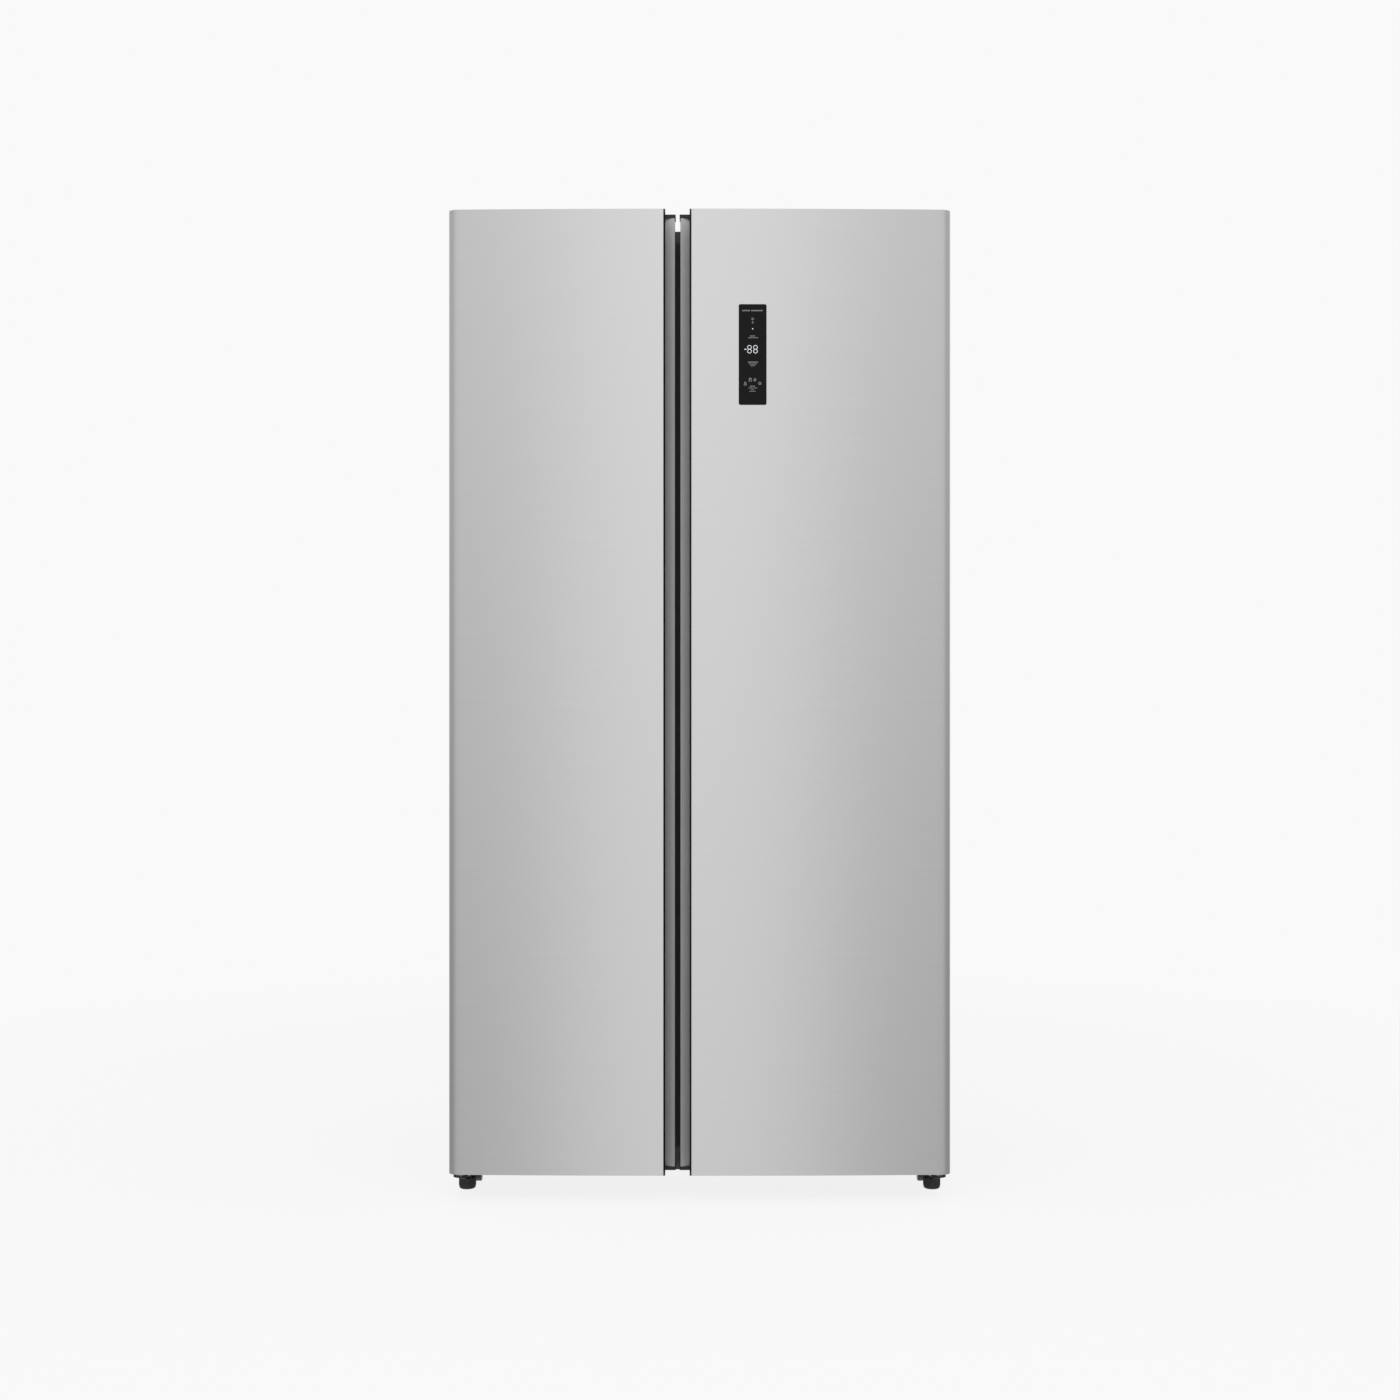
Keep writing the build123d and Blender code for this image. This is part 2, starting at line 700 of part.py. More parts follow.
def liner_lip(half):
    """Flat front rim of a liner, lapped behind the flanges and the mullion strip."""
    return block(half.middle, FLANGE_U + LIP_LAP, LIP_Y, LIP_Y + LINER_T, BEAM_TOP - LIP_LAP,
                 FLANGE_Z + LIP_LAP)


def shelf_heights():
    return [SHELF_FIRST + i * SHELF_PITCH for i in range(SHELF_COUNT)]


def drawer_room(half, upper):
    """Back, floor and top of a drawer."""
    if upper:
        return half.shelf_back - DRAWER_BACK_GAP, STEP_Z + UPPER_DRAWER_RAISE, UPPER_DRAWER_TOP
    return STEP_Y - DRAWER_BACK_GAP, CAVITY_BOTTOM + LOWER_DRAWER_RAISE, STEP_Z - LOWER_DRAWER_DROP


def rib_pair(half, y0, y1, top):
    """Ledges on both side walls of a liner."""
    left = block(half.cavity_in, half.cavity_in + RIB_W, y0, y1, top - RIB_H, top)
    right = block(half.cavity_out - RIB_W, half.cavity_out, y0, y1, top - RIB_H, top)
    return left + right


def compartment_liner(half):
    """Vacuum-formed inner wall with its front rim and the ledges for shelves and drawers."""
    rib_front = SHELF_FRONT + TRIM_BITE
    liner = cavity(half, LINER_T) + liner_lip(half) - cavity(half, 0)
    for z in shelf_heights():
        liner += rib_pair(half, rib_front, half.shelf_back - SHELF_BACK_GAP, z)
    for upper in (False, True):
        back, _, top = drawer_room(half, upper)
        liner += rib_pair(half, rib_front, back, top - DRAWER_LIP_T - RUN_CLEAR)
    return liner


def cabinet_foam():
    """Insulation between wrapper, deck, back panel and liners."""
    points = [(LIP_Y, DECK_Z + DECK_T), (ROOM_FRONT, DECK_Z + DECK_T), (ROOM_FRONT, ROOM_TOP + DECK_T),
              (PANEL_Y, ROOM_TOP + DECK_T), (PANEL_Y, CAB_TOP - SHEET), (LIP_Y, CAB_TOP - SHEET)]
    foam = profile_x(points, -INNER_HALF, INNER_HALF)
    for half in HALVES:
        foam -= place(half, cavity(half, LINER_T))
        foam -= place(half, liner_lip(half))
    for pressed in back_beads(SHEET):
        foam -= pressed
    return foam


# Hinges, feet and rollers

def screw(place_at, radius):
    """Straight shank at a place given by start and end."""
    return rod(place_at[0], place_at[1], radius)


def top_hinge_places():
    """Start and end of each screw shank in the right top hinge."""
    ys = [RISER_Y + HINGE_BASE_L * along for along in HINGE_SCREWS]
    return [((HINGE_U, y, CAB_TOP - SHEET), (HINGE_U, y, CAB_TOP + ARM_T)) for y in ys]


def top_hinge_screws(radius):
    return [s for p in top_hinge_places() for s in both_sides(screw(p, radius))]


def lower_hinge_places():
    """Start and end of each screw shank in the right lower hinge."""
    u = HINGE_U - LOWER_PLATE_W + SCREW_HEAD_R + SCREW_FIT
    ys = (FOOT_Y - FOOT_BACK / 2, FOOT_Y + FOOT_R - SCREW_HEAD_R)
    return [((u, y, CAB_BOTTOM + SHEET), (u, y, CAB_BOTTOM - LOWER_PLATE_T)) for y in ys]


def lower_hinge_screws(radius):
    return [s for p in lower_hinge_places() for s in both_sides(screw(p, radius))]


def cover_places():
    """Start and end of each screw shank in the machine room cover."""
    span = 2 * (INNER_HALF - COVER_SCREW_INSET)
    xs = [-span / 2 + span * i / (COVER_SCREWS - 1) for i in range(COVER_SCREWS)]
    zs = (ROOM_FLOOR + COVER_SCREW_INSET, ROOM_TOP - COVER_SCREW_INSET)
    return [((x, ROOM_BACK, z), (x, ROOM_BACK + COVER_SHEET, z)) for x in xs for z in zs]


def screw_with_head(place_at):
    """Shank with a cross-recessed pan head at its end."""
    start, end = Vector(*place_at[0]), Vector(*place_at[1])
    out = (end - start).normalized()
    shank = rod(tuple(start), tuple(end), SCREW_R)
    head = rod(tuple(end), tuple(end + out * SCREW_HEAD_T), SCREW_HEAD_R)
    top = Plane(origin=tuple(end + out * SCREW_HEAD_T), z_dir=out)
    cross = Box(CROSS_L, CROSS_W, SCREW_HEAD_T) + Box(CROSS_W, CROSS_L, SCREW_HEAD_T)
    return shank + head - top * cross


def cabinet_screws():
    screws = [screw_with_head(p) for p in cover_places()]
    for p in top_hinge_places() + lower_hinge_places():
        screws += both_sides(screw_with_head(p))
    return screws


def top_hinge():
    """Cranked plate from the cabinet top over the door, with a hole for the pin."""
    u0, u1 = HINGE_U - HINGE_W / 2, HINGE_U + HINGE_W / 2
    base = block(u0, u1, RISER_Y, RISER_Y + HINGE_BASE_L, CAB_TOP, CAB_TOP + ARM_T)
    riser = block(u0, u1, RISER_Y, RISER_Y + ARM_T, CAB_TOP, ARM_Z + ARM_T)
    nose = Pos(HINGE_U, HINGE_Y) * Circle(HINGE_W / 2)
    arm = upright(rect(u0, u1, HINGE_Y, RISER_Y + ARM_T) + nose, ARM_Z, ARM_Z + ARM_T)
    hinge = base + riser + arm
    hinge -= rod((HINGE_U, HINGE_Y, ARM_Z), (HINGE_U, HINGE_Y, ARM_Z + ARM_T), PIN_R + TAIL_FIT)
    for p in top_hinge_places():
        hinge -= screw(p, SCREW_R + SCREW_FIT)
    return hinge


def lower_hinge():
    """Plate under the crossbeam that carries the lower pin and guides the foot's stem, with a door stop."""
    u0, u1 = HINGE_U - LOWER_PLATE_W, HINGE_U + HINGE_W / 2
    pad = rect(u0, u1, LIP_Y, FOOT_Y + FOOT_R)
    arm = rect(HINGE_U - HINGE_W / 2, u1, HINGE_Y, LIP_Y)
    nose = Pos(HINGE_U, HINGE_Y) * Circle(HINGE_W / 2)
    z0 = CAB_BOTTOM - LOWER_PLATE_T
    hinge = upright(pad + arm + nose, z0, CAB_BOTTOM)
    hinge += block(u1 - STOP_W, u1, HINGE_Y, LIP_Y, CAB_BOTTOM - STOP_H, CAB_BOTTOM)
    hinge -= rod((HINGE_U, HINGE_Y, z0), (HINGE_U, HINGE_Y, CAB_BOTTOM), TAIL_R + TAIL_FIT)
    hinge -= rod((FOOT_U, FOOT_Y, z0), (FOOT_U, FOOT_Y, CAB_BOTTOM), STEM_R + STEM_FIT)
    for p in lower_hinge_places():
        hinge -= screw(p, SCREW_R + SCREW_FIT)
    return hinge


def axis_rod(z0, z1, radius):
    """Round bar on the right hinge axis."""
    return rod((HINGE_U, HINGE_Y, z0), (HINGE_U, HINGE_Y, z1), radius)


def upper_pin():
    head = axis_rod(ARM_Z + ARM_T, ARM_Z + ARM_T + PIN_HEAD_T, PIN_HEAD_R)
    return axis_rod(DOOR_TOP - PIN_REACH, ARM_Z + ARM_T, PIN_R) + head


def lower_pin():
    tail = axis_rod(CAB_BOTTOM - LOWER_PLATE_T, CAB_BOTTOM, TAIL_R)
    collar = axis_rod(CAB_BOTTOM, DOOR_BOTTOM - COLLAR_CLEAR, COLLAR_R)
    return tail + collar + axis_rod(CAB_BOTTOM, DOOR_BOTTOM + PIN_REACH, PIN_R)


def hinge_cover():
    """Cap over the hinge plate's screws, with a notch where the plate comes out."""
    u0, u1 = HINGE_U - COVER_W, CAB_HALF
    y0 = RISER_Y + ARM_T + COVER_GAP
    y1 = y0 + COVER_L
    outside = upright(rounded(u0, u1, y0, y1, COVER_CORNER), CAB_TOP, COVER_TOP)
    outside = fillet(outside.faces().sort_by(Axis.Z)[-1].edges(), COVER_WALL)
    inside = block(u0 + COVER_WALL, u1 - COVER_WALL, y0 + COVER_WALL, y1 - COVER_WALL, CAB_TOP,
                   COVER_TOP - COVER_WALL)
    side = HINGE_W / 2 + COVER_GAP
    notch = block(HINGE_U - side, HINGE_U + side, y0, y0 + COVER_WALL, CAB_TOP,
                  CAB_TOP + ARM_T + COVER_GAP)
    return outside - inside - notch


def levelling_foot():
    """Pad with a round lower edge, locknut and threaded stem, drawn as one piece."""
    pad = rod((FOOT_U, FOOT_Y, 0), (FOOT_U, FOOT_Y, FOOT_H), FOOT_R)
    pad = fillet(pad.faces().sort_by(Axis.Z)[0].edges(), FOOT_EDGE)
    stem = rod((FOOT_U, FOOT_Y, FOOT_H), (FOOT_U, FOOT_Y, DECK_Z - STEM_TOP_GAP), STEM_R)
    nut_top = CAB_BOTTOM - LOWER_PLATE_T - NUT_GAP
    nut = upright(Pos(FOOT_U, FOOT_Y) * RegularPolygon(NUT_R, 6), nut_top - NUT_T, nut_top)
    return pad + stem + nut


def roller_places():
    """Middle of each right-hand roller's axle: front, then rear."""
    front = (FOOT_U - ROLLER_STEP, FOOT_Y + ROLLER_BACK, ROLLER_R + ROLLER_LIFT)
    rear = (CAB_HALF - REAR_ROLLER_INSET, ROOM_BACK - REAR_ROLLER_FWD, ROLLER_R)
    return front, rear


def across(middle, half_length, radius):
    """Round bar along X about a middle."""
    x, y, z = middle
    return rod((x - half_length, y, z), (x + half_length, y, z), radius)


def roller(middle):
    wheel = across(middle, ROLLER_W / 2, ROLLER_R)
    rims = wheel.edges().filter_by(GeomType.CIRCLE)
    return fillet(rims, ROLLER_EDGE) - across(middle, ROLLER_W / 2, AXLE_R + AXLE_FIT)


def roller_axle(middle):
    return across(middle, ROLLER_W / 2 + ROLLER_SIDE_GAP + BRACKET_T, AXLE_R)


def roller_bracket(middle):
    """Folded strap with a cheek on each side of the roller."""
    x, y, z = middle
    inner = ROLLER_W / 2 + ROLLER_SIDE_GAP
    outer = inner + BRACKET_T
    half_l = BRACKET_L / 2
    strap = block(x - outer, x + outer, y - half_l, y + half_l, z - BRACKET_TAIL, CAB_BOTTOM)
    strap -= block(x - inner, x + inner, y - half_l, y + half_l, z - BRACKET_TAIL, CAB_BOTTOM - BRACKET_T)
    return strap - across(middle, outer, AXLE_R + TAIL_FIT)


# Shelves, drawers and lamps

def shelf_glass(half):
    back = half.shelf_back - SHELF_BACK_GAP
    return [block(half.cavity_in + SHELF_SIDE_GAP, half.cavity_out - SHELF_SIDE_GAP, SHELF_FRONT, back,
                  z, z + GLASS_SHELF_T) for z in shelf_heights()]


def shelf_trims(half):
    """Moulded strips that grip the front edge of each glass shelf."""
    y1 = SHELF_FRONT + TRIM_BITE
    u0, u1 = half.cavity_in + SHELF_SIDE_GAP, half.cavity_out - SHELF_SIDE_GAP
    trims = []
    for z in shelf_heights():
        bar = block(u0, u1, y1 - TRIM_D, y1, z - TRIM_OVER, z + GLASS_SHELF_T + TRIM_OVER)
        front = bar.edges().filter_by(Axis.X).group_by(Axis.Y)[0]
        bar = fillet(front, TRIM_OVER)
        trims.append(bar - block(u0, u1, SHELF_FRONT, y1, z, z + GLASS_SHELF_T))
    return trims


def drawer(half, upper):
    """Clear tub hung by its side lips on the liner's ledges, with a pull at the top of its front."""
    back, floor, top = drawer_room(half, upper)
    front = SHELF_FRONT + DRAWER_SET
    side = RIB_W + DRAWER_SIDE_GAP
    u0, u1 = half.cavity_in + side, half.cavity_out - side
    box = tub(u0, u1, front, back, floor, top, DRAWER_WALL, DRAWER_CORNER)
    for lip0, lip1 in ((half.cavity_in + DRAWER_SIDE_GAP, u0), (u1, half.cavity_out - DRAWER_SIDE_GAP)):
        box += block(lip0, lip1, front + DRAWER_LIP_SET, back - DRAWER_CORNER, top - DRAWER_LIP_T, top)
    mid = half.cavity_mid
    pull = block(mid - PULL_W / 2, mid + PULL_W / 2, front - PULL_D, front, top - PULL_H, top)
    pull -= block(mid - PULL_W / 2, mid + PULL_W / 2, front - PULL_D + PULL_WALL, front,
                  top - PULL_H, top - PULL_WALL)
    return box + pull


def ceiling_lamp(half):
    mid = half.cavity_mid
    y = CAB_FRONT + LAMP_SET
    plan = rounded(mid - LAMP_W / 2, mid + LAMP_W / 2, y - LAMP_D / 2, y + LAMP_D / 2, LAMP_CORNER)
    return upright(plan, CAVITY_TOP - LAMP_T, CAVITY_TOP)


# Cooling

def fan(radius):
    """Hub and pitched blades about Z, with its bore."""
    wheel = Cylinder(FAN_HUB_R, FAN_W)
    length = radius - FAN_HUB_R / 2
    for i in range(FAN_BLADES):
        blade = Rot(BLADE_PITCH, 0, 0) * Box(length, BLADE_CHORD, BLADE_T)
        outward = Pos((FAN_HUB_R + length) / 2, 0, 0)
        wheel += Rot(0, 0, i * 360 / FAN_BLADES) * outward * blade
    wheel &= Cylinder(radius, FAN_W)
    return wheel - Cylinder(SHAFT_R + SHAFT_FIT, FAN_W)


def vents(mid, y0, y1, z_first, rows, half_widths):
    """Horizontal slots through a wall, one above the other."""
    return [block(mid - half_widths[i], mid + half_widths[i], y0, y1, z_first + i * VENT_PITCH,
                  z_first + i * VENT_PITCH + VENT_H) for i in range(rows)]


def evap_fan_centre():
    return FREEZER.cavity_mid, EVAP_FRONT + FAN_SET + FAN_W / 2, STEP_Z + EVAP_FAN_RAISE


def evaporator_cover():
    """Tray over the evaporator, open to the back wall, with a fan grille and return slots."""
    half = FREEZER
    u0, u1 = half.cavity_in + EVAP_SIDE_GAP, half.cavity_out - EVAP_SIDE_GAP
    top = STEP_Z + EVAP_COVER_H
    cover = block(u0, u1, EVAP_FRONT, CAVITY_BACK, STEP_Z, top)
    cover -= block(u0 + EVAP_COVER_T, u1 - EVAP_COVER_T, EVAP_FRONT + EVAP_COVER_T, CAVITY_BACK,
                   STEP_Z + EVAP_COVER_T, top - EVAP_COVER_T)
    u, _, fan_z = evap_fan_centre()
    rise = (VENT_ROWS - 1) / 2 * VENT_PITCH
    chords = [math.sqrt(EVAP_FAN_R**2 - (rise - i * VENT_PITCH) ** 2) for i in range(VENT_ROWS)]
    grille = vents(u, EVAP_FRONT, EVAP_FRONT + EVAP_COVER_T, fan_z - rise - VENT_H / 2, VENT_ROWS, chords)
    level = [VENT_W / 2] * VENT_ROWS
    returns = vents(u, EVAP_FRONT, EVAP_FRONT + EVAP_COVER_T, STEP_Z + UPPER_DRAWER_H, VENT_ROWS, level)
    for slot in grille + returns:
        cover -= slot
    return cover


def evaporator():
    """Finned tube block held off the back wall by its end plates."""
    mid = FREEZER.cavity_mid
    back = CAVITY_BACK - EVAP_OFF
    front = back - EVAP_D
    z0 = STEP_Z + EVAP_RAISE
    pitch = EVAP_W / (EVAP_FINS - 1)
    row = EVAP_H / EVAP_ROWS
    pieces = []
    for i in range(EVAP_FINS):
        u = mid - EVAP_W / 2 + i * pitch
        reach = CAVITY_BACK if i in (0, EVAP_FINS - 1) else back
        pieces.append(block(u - FIN_T / 2, u + FIN_T / 2, front, reach, z0, z0 + EVAP_H))
    ends = (mid - EVAP_W / 2 - pitch / 2, mid + EVAP_W / 2 + pitch / 2)
    for y in (front + EVAP_D / 4, back - EVAP_D / 4):
        levels = [z0 + row * (k + 0.5) for k in range(EVAP_ROWS)]
        pieces += [rod((ends[0], y, z), (ends[1], y, z), TUBE_R) for z in levels]
        for k in range(EVAP_ROWS - 1):
            u = ends[k % 2]
            pieces.append(rod((u, y, levels[k] - TUBE_R), (u, y, levels[k + 1] + TUBE_R), TUBE_R))
    return pieces[0].fuse(*pieces[1:])


def evaporator_fan():
    return Pos(*evap_fan_centre()) * Rot(90, 0, 0) * fan(EVAP_FAN_R)


def evaporator_fan_motor():
    """Motor on a post from the back wall, with the shaft that carries the fan."""
    u, y, z = evap_fan_centre()
    start = y + FAN_W / 2 + MOTOR_GAP
    can = rod((u, start, z), (u, start + MOTOR_L, z), MOTOR_R)
    post = rod((u, start + MOTOR_L, z), (u, CAVITY_BACK, z), MOTOR_POST_R)
    return can + post + rod((u, y - FAN_W / 2, z), (u, start, z), SHAFT_R)


def fridge_air_duct():
    """Shallow tray on the back wall with an outlet under each shelf."""
    half = FRIDGE
    u0, u1 = half.cavity_mid - DUCT_W / 2, half.cavity_mid + DUCT_W / 2
    y0 = CAVITY_BACK - DUCT_D
    z0, z1 = STEP_Z + DUCT_FOOT, CAVITY_TOP - DUCT_HEAD
    duct = block(u0, u1, y0, CAVITY_BACK, z0, z1)
    duct -= block(u0 + DUCT_T, u1 - DUCT_T, y0 + DUCT_T, CAVITY_BACK, z0 + DUCT_T, z1 - DUCT_T)
    level = [OUTLET_W / 2] * OUTLET_ROWS
    for z in shelf_heights():
        for slot in vents(half.cavity_mid, y0, y0 + DUCT_T, z + SHELF_PITCH / 2, OUTLET_ROWS, level):
            duct -= slot
    return duct


# Machine room

def compressor():
    """Welded pot with its foot plate and two pipe ports."""
    x, y = COMPRESSOR_X, ROOM_MID_Y
    z0 = ROOM_FLOOR + GROMMET_H
    half_w, half_d = COMPRESSOR_FOOT_W / 2, COMPRESSOR_FOOT_D / 2
    foot = block(x - half_w, x + half_w, y - half_d, y + half_d, z0, z0 + COMPRESSOR_FOOT_T)
    bottom = z0 + COMPRESSOR_FOOT_T
    can = rod((x, y, bottom), (x, y, bottom + COMPRESSOR_H), COMPRESSOR_R)
    can = fillet(can.edges().filter_by(GeomType.CIRCLE).sort_by(Axis.Z)[-1], COMPRESSOR_DOME)
    reach = COMPRESSOR_R + PORT_L
    z = bottom + PORT_RAISE
    return foot + can + rod((x - reach, y, z), (x + reach, y, z), PORT_R)


def compressor_grommets():
    half_w = COMPRESSOR_FOOT_W / 2 - GROMMET_INSET
    half_d = COMPRESSOR_FOOT_D / 2 - GROMMET_INSET
    spots = [(COMPRESSOR_X + a * half_w, ROOM_MID_Y + b * half_d) for a in (-1, 1) for b in (-1, 1)]
    return [rod((x, y, ROOM_FLOOR), (x, y, ROOM_FLOOR + GROMMET_H), GROMMET_R) for x, y in spots]


def condenser_ends():
    """Y of the two end sheets."""
    return ROOM_FRONT + DECK_T + CONDENSER_END_GAP, ROOM_BACK - CONDENSER_END_GAP


def condenser():
    """Finned tube block that stands on its two end sheets over the drip tray."""
    y0, y1 = condenser_ends()
    fin_floor = ROOM_FLOOR + TRAY_H + TRAY_CLEAR
    top = ROOM_TOP - CONDENSER_TOP_GAP
    sheet = CONDENSER_SHEET
    pieces = [block(CONDENSER_X0, CONDENSER_X1, y0, y0 + sheet, ROOM_FLOOR, top),
              block(CONDENSER_X0, CONDENSER_X1, y1 - sheet, y1, ROOM_FLOOR, top)]
    for i in range(1, CONDENSER_FINS + 1):
        y = y0 + (y1 - y0) * i / (CONDENSER_FINS + 1)
        pieces.append(block(CONDENSER_X0, CONDENSER_X1, y - FIN_T / 2, y + FIN_T / 2, fin_floor, top))
    for i in range(CONDENSER_COLUMNS):
        x = CONDENSER_X0 + (CONDENSER_X1 - CONDENSER_X0) * (i + 0.5) / CONDENSER_COLUMNS
        for k in range(CONDENSER_ROWS):
            z = fin_floor + (top - fin_floor) * (k + 0.5) / CONDENSER_ROWS
            pieces.append(rod((x, y0 - sheet, z), (x, y1 + sheet, z), TUBE_R))
    return pieces[0].fuse(*pieces[1:])


def drip_tray():
    y0, y1 = condenser_ends()
    inset = CONDENSER_SHEET + TRAY_INSET
    return tub(CONDENSER_X0 + TRAY_INSET, CONDENSER_X1 - TRAY_INSET, y0 + inset, y1 - inset, ROOM_FLOOR,
               ROOM_FLOOR + TRAY_H, TRAY_WALL, TRAY_CORNER)


def condenser_fan_shroud():
    """Upright plate with the fan's round opening and a cross that carries the motor."""
    x0, x1 = SHROUD_X, SHROUD_X + SHROUD_T
    y, z = ROOM_MID_Y, COND_FAN_Z
    plate = block(x0, x1, ROOM_FRONT + DECK_T, ROOM_BACK, ROOM_FLOOR, ROOM_TOP - SHROUD_TOP_GAP)
    reach = COND_FAN_R + SHROUD_CLEAR
    plate -= rod((x0, y, z), (x1, y, z), reach)
    half_arm = SHROUD_ARM_W / 2
    cross = block(x0, x1, y - reach - half_arm, y + reach + half_arm, z - half_arm, z + half_arm)
    cross += block(x0, x1, y - half_arm, y + half_arm, z - reach - half_arm, ROOM_TOP - SHROUD_TOP_GAP)
    cross += rod((x0, y, z), (x1, y, z), MOTOR_R)
    return plate + cross - rod((x0, y, z), (x1, y, z), SHAFT_R + SHAFT_FIT)


def condenser_fan():
    x = SHROUD_X - MOTOR_GAP - FAN_W / 2
    return Pos(x, ROOM_MID_Y, COND_FAN_Z) * Rot(0, 90, 0) * fan(COND_FAN_R)


def condenser_fan_motor():
    y, z = ROOM_MID_Y, COND_FAN_Z
    x1 = SHROUD_X + SHROUD_T
    shaft = rod((SHROUD_X - MOTOR_GAP - FAN_W, y, z), (x1, y, z), SHAFT_R)
    return shaft + rod((x1, y, z), (x1 + MOTOR_L, y, z), MOTOR_R)


def main_board_box():
    """Closed box for the electronics on the machine room's front wall, with a stepped lid."""
    y0 = ROOM_FRONT + DECK_T
    z0 = CAB_BOTTOM + BOX_RAISE
    y1 = y0 + BOX_D
    body = block(BOX_X0, BOX_X1, y0, y1 - BOX_LID, z0, z0 + BOX_H)
    lid = block(BOX_X0 - BOX_RIM, BOX_X1 + BOX_RIM, y1 - BOX_LID, y1, z0 - BOX_RIM, z0 + BOX_H + BOX_RIM)
    return body + lid


def pipe(points):
    """Round tube along straight runs with even bends."""
    path = FilletPolyline(*points, radius=PIPE_BEND)
    return sweep(Plane(origin=path @ 0, z_dir=path % 0) * Circle(TUBE_R), path=path)


def refrigerant_pipes():
    """Discharge line to the condenser and suction line up into the insulation."""
    y = ROOM_MID_Y
    z = ROOM_FLOOR + GROMMET_H + COMPRESSOR_FOOT_T + PORT_RAISE
    reach = COMPRESSOR_R + PORT_L
    right = COMPRESSOR_X + reach
    left = COMPRESSOR_X - reach
    over = ROOM_TOP - PIPE_CLEAR
    x_end = CONDENSER_X0 + PIPE_RUN
    discharge = pipe([(right, y, z), (right + PIPE_RUN, y, z), (right + PIPE_RUN, y, over),
                      (x_end, y, over), (x_end, y, ROOM_TOP - CONDENSER_TOP_GAP)])
    suction = pipe([(left, y, z), (left - PIPE_RUN, y, z), (left - PIPE_RUN, y, ROOM_TOP)])
    return discharge, suction


def machine_cover():
    """Back sheet of the machine room with louvre slots, screw holes and the gland's hole."""
    y1 = ROOM_BACK + COVER_SHEET
    cover = block(-INNER_HALF, INNER_HALF, ROOM_BACK, y1, CAB_BOTTOM, ROOM_TOP)
    for i in range(LOUVRE_COLUMNS):
        x = (i - (LOUVRE_COLUMNS - 1) / 2) * LOUVRE_PITCH_X
        for k in range(LOUVRE_ROWS):
            z = CAB_BOTTOM + LOUVRE_RAISE + k * LOUVRE_PITCH_Z
            cover -= block(x - LOUVRE_W / 2, x + LOUVRE_W / 2, ROOM_BACK, y1, z, z + LOUVRE_H)
    for p in cover_places():
        cover -= screw(p, SCREW_R + SCREW_FIT)
    z = CAB_BOTTOM + GLAND_RAISE
    return cover - rod((GLAND_X, ROOM_BACK, z), (GLAND_X, y1, z), GLAND_R + GLAND_FIT)


def mains_gland():
    """Grommet for the mains lead in the machine room cover."""
    z = CAB_BOTTOM + GLAND_RAISE
    y1 = ROOM_BACK + COVER_SHEET
    flange = rod((GLAND_X, y1, z), (GLAND_X, y1 + GLAND_FLANGE_T, z), GLAND_FLANGE_R)
    neck = rod((GLAND_X, ROOM_BACK - GLAND_TAIL, z), (GLAND_X, y1, z), GLAND_R)
    bore = rod((GLAND_X, ROOM_BACK - GLAND_TAIL, z), (GLAND_X, y1 + GLAND_FLANGE_T, z), GLAND_BORE_R)
    return flange + neck - bore


def save_doors():
    for half in HALVES:
        pieces = {
            "skin": [door_skin(half)],
            "end_caps": end_caps(half),
            "grip_channel": [grip_channel(half)],
            "foam": [door_foam(half)],
            "inner_liner": [door_liner(half)],
            "gasket": [door_gasket(half)],
            "bins": door_bins(half),
        }
        for piece, solids in pieces.items():
            save(f"{half.name}_door_{piece}", *[place(half, solid) for solid in solids])
    save("control_panel_glass", control_glass())
    save("display_board", display_board())


def save_cabinet():
    save("cabinet_wrapper", cabinet_wrapper())
    save("back_panel", back_panel())
    save("base_deck", base_deck())
    floor = block(-INNER_HALF, INNER_HALF, ROOM_FRONT, ROOM_BACK, CAB_BOTTOM, ROOM_FLOOR)
    save("compressor_base", floor)
    save("front_crossbeam", front_crossbeam())
    save("mullion_strip", mullion_strip())
    save("cabinet_foam", cabinet_foam())
    for half in HALVES:
        save(f"{half.name}_liner", place(half, compartment_liner(half)))
    save("top_hinges", *both_sides(top_hinge()))
    save("bottom_hinges", *both_sides(lower_hinge()))
    save("hinge_pins", *both_sides(upper_pin()), *both_sides(lower_pin()))
    save("hinge_covers", *both_sides(hinge_cover()))
    save("cabinet_screws", *cabinet_screws())


def save_underside():
    right, left = both_sides(levelling_foot())
    save("foot_right", right)
    save("foot_left", left)
    brackets = []
    for end, middle in zip(("front", "rear"), roller_places()):
        right, left = both_sides(roller(middle))
        save(f"roller_{end}_right", right)
        save(f"roller_{end}_left", left)
        brackets += both_sides(roller_bracket(middle)) + both_sides(roller_axle(middle))
    save("roller_brackets", *brackets)


def save_inside():
    glass = [place(half, solid) for half in HALVES for solid in shelf_glass(half)]
    trims = [place(half, solid) for half in HALVES for solid in shelf_trims(half)]
    save("shelf_glass", *glass)
    save("shelf_trims", *trims)
    for half, name in ((FREEZER, "freezer_drawer"), (FRIDGE, "crisper")):
        save(f"{name}_lower", place(half, drawer(half, False)))
        save(f"{name}_upper", place(half, drawer(half, True)))
    save("ceiling_lamps", *[place(half, ceiling_lamp(half)) for half in HALVES])
    save("evaporator_cover", place(FREEZER, evaporator_cover()))
    save("evaporator", place(FREEZER, evaporator()))
    save("evaporator_fan", place(FREEZER, evaporator_fan()))
    save("evaporator_fan_motor", place(FREEZER, evaporator_fan_motor()))
    save("fridge_air_duct", fridge_air_duct())


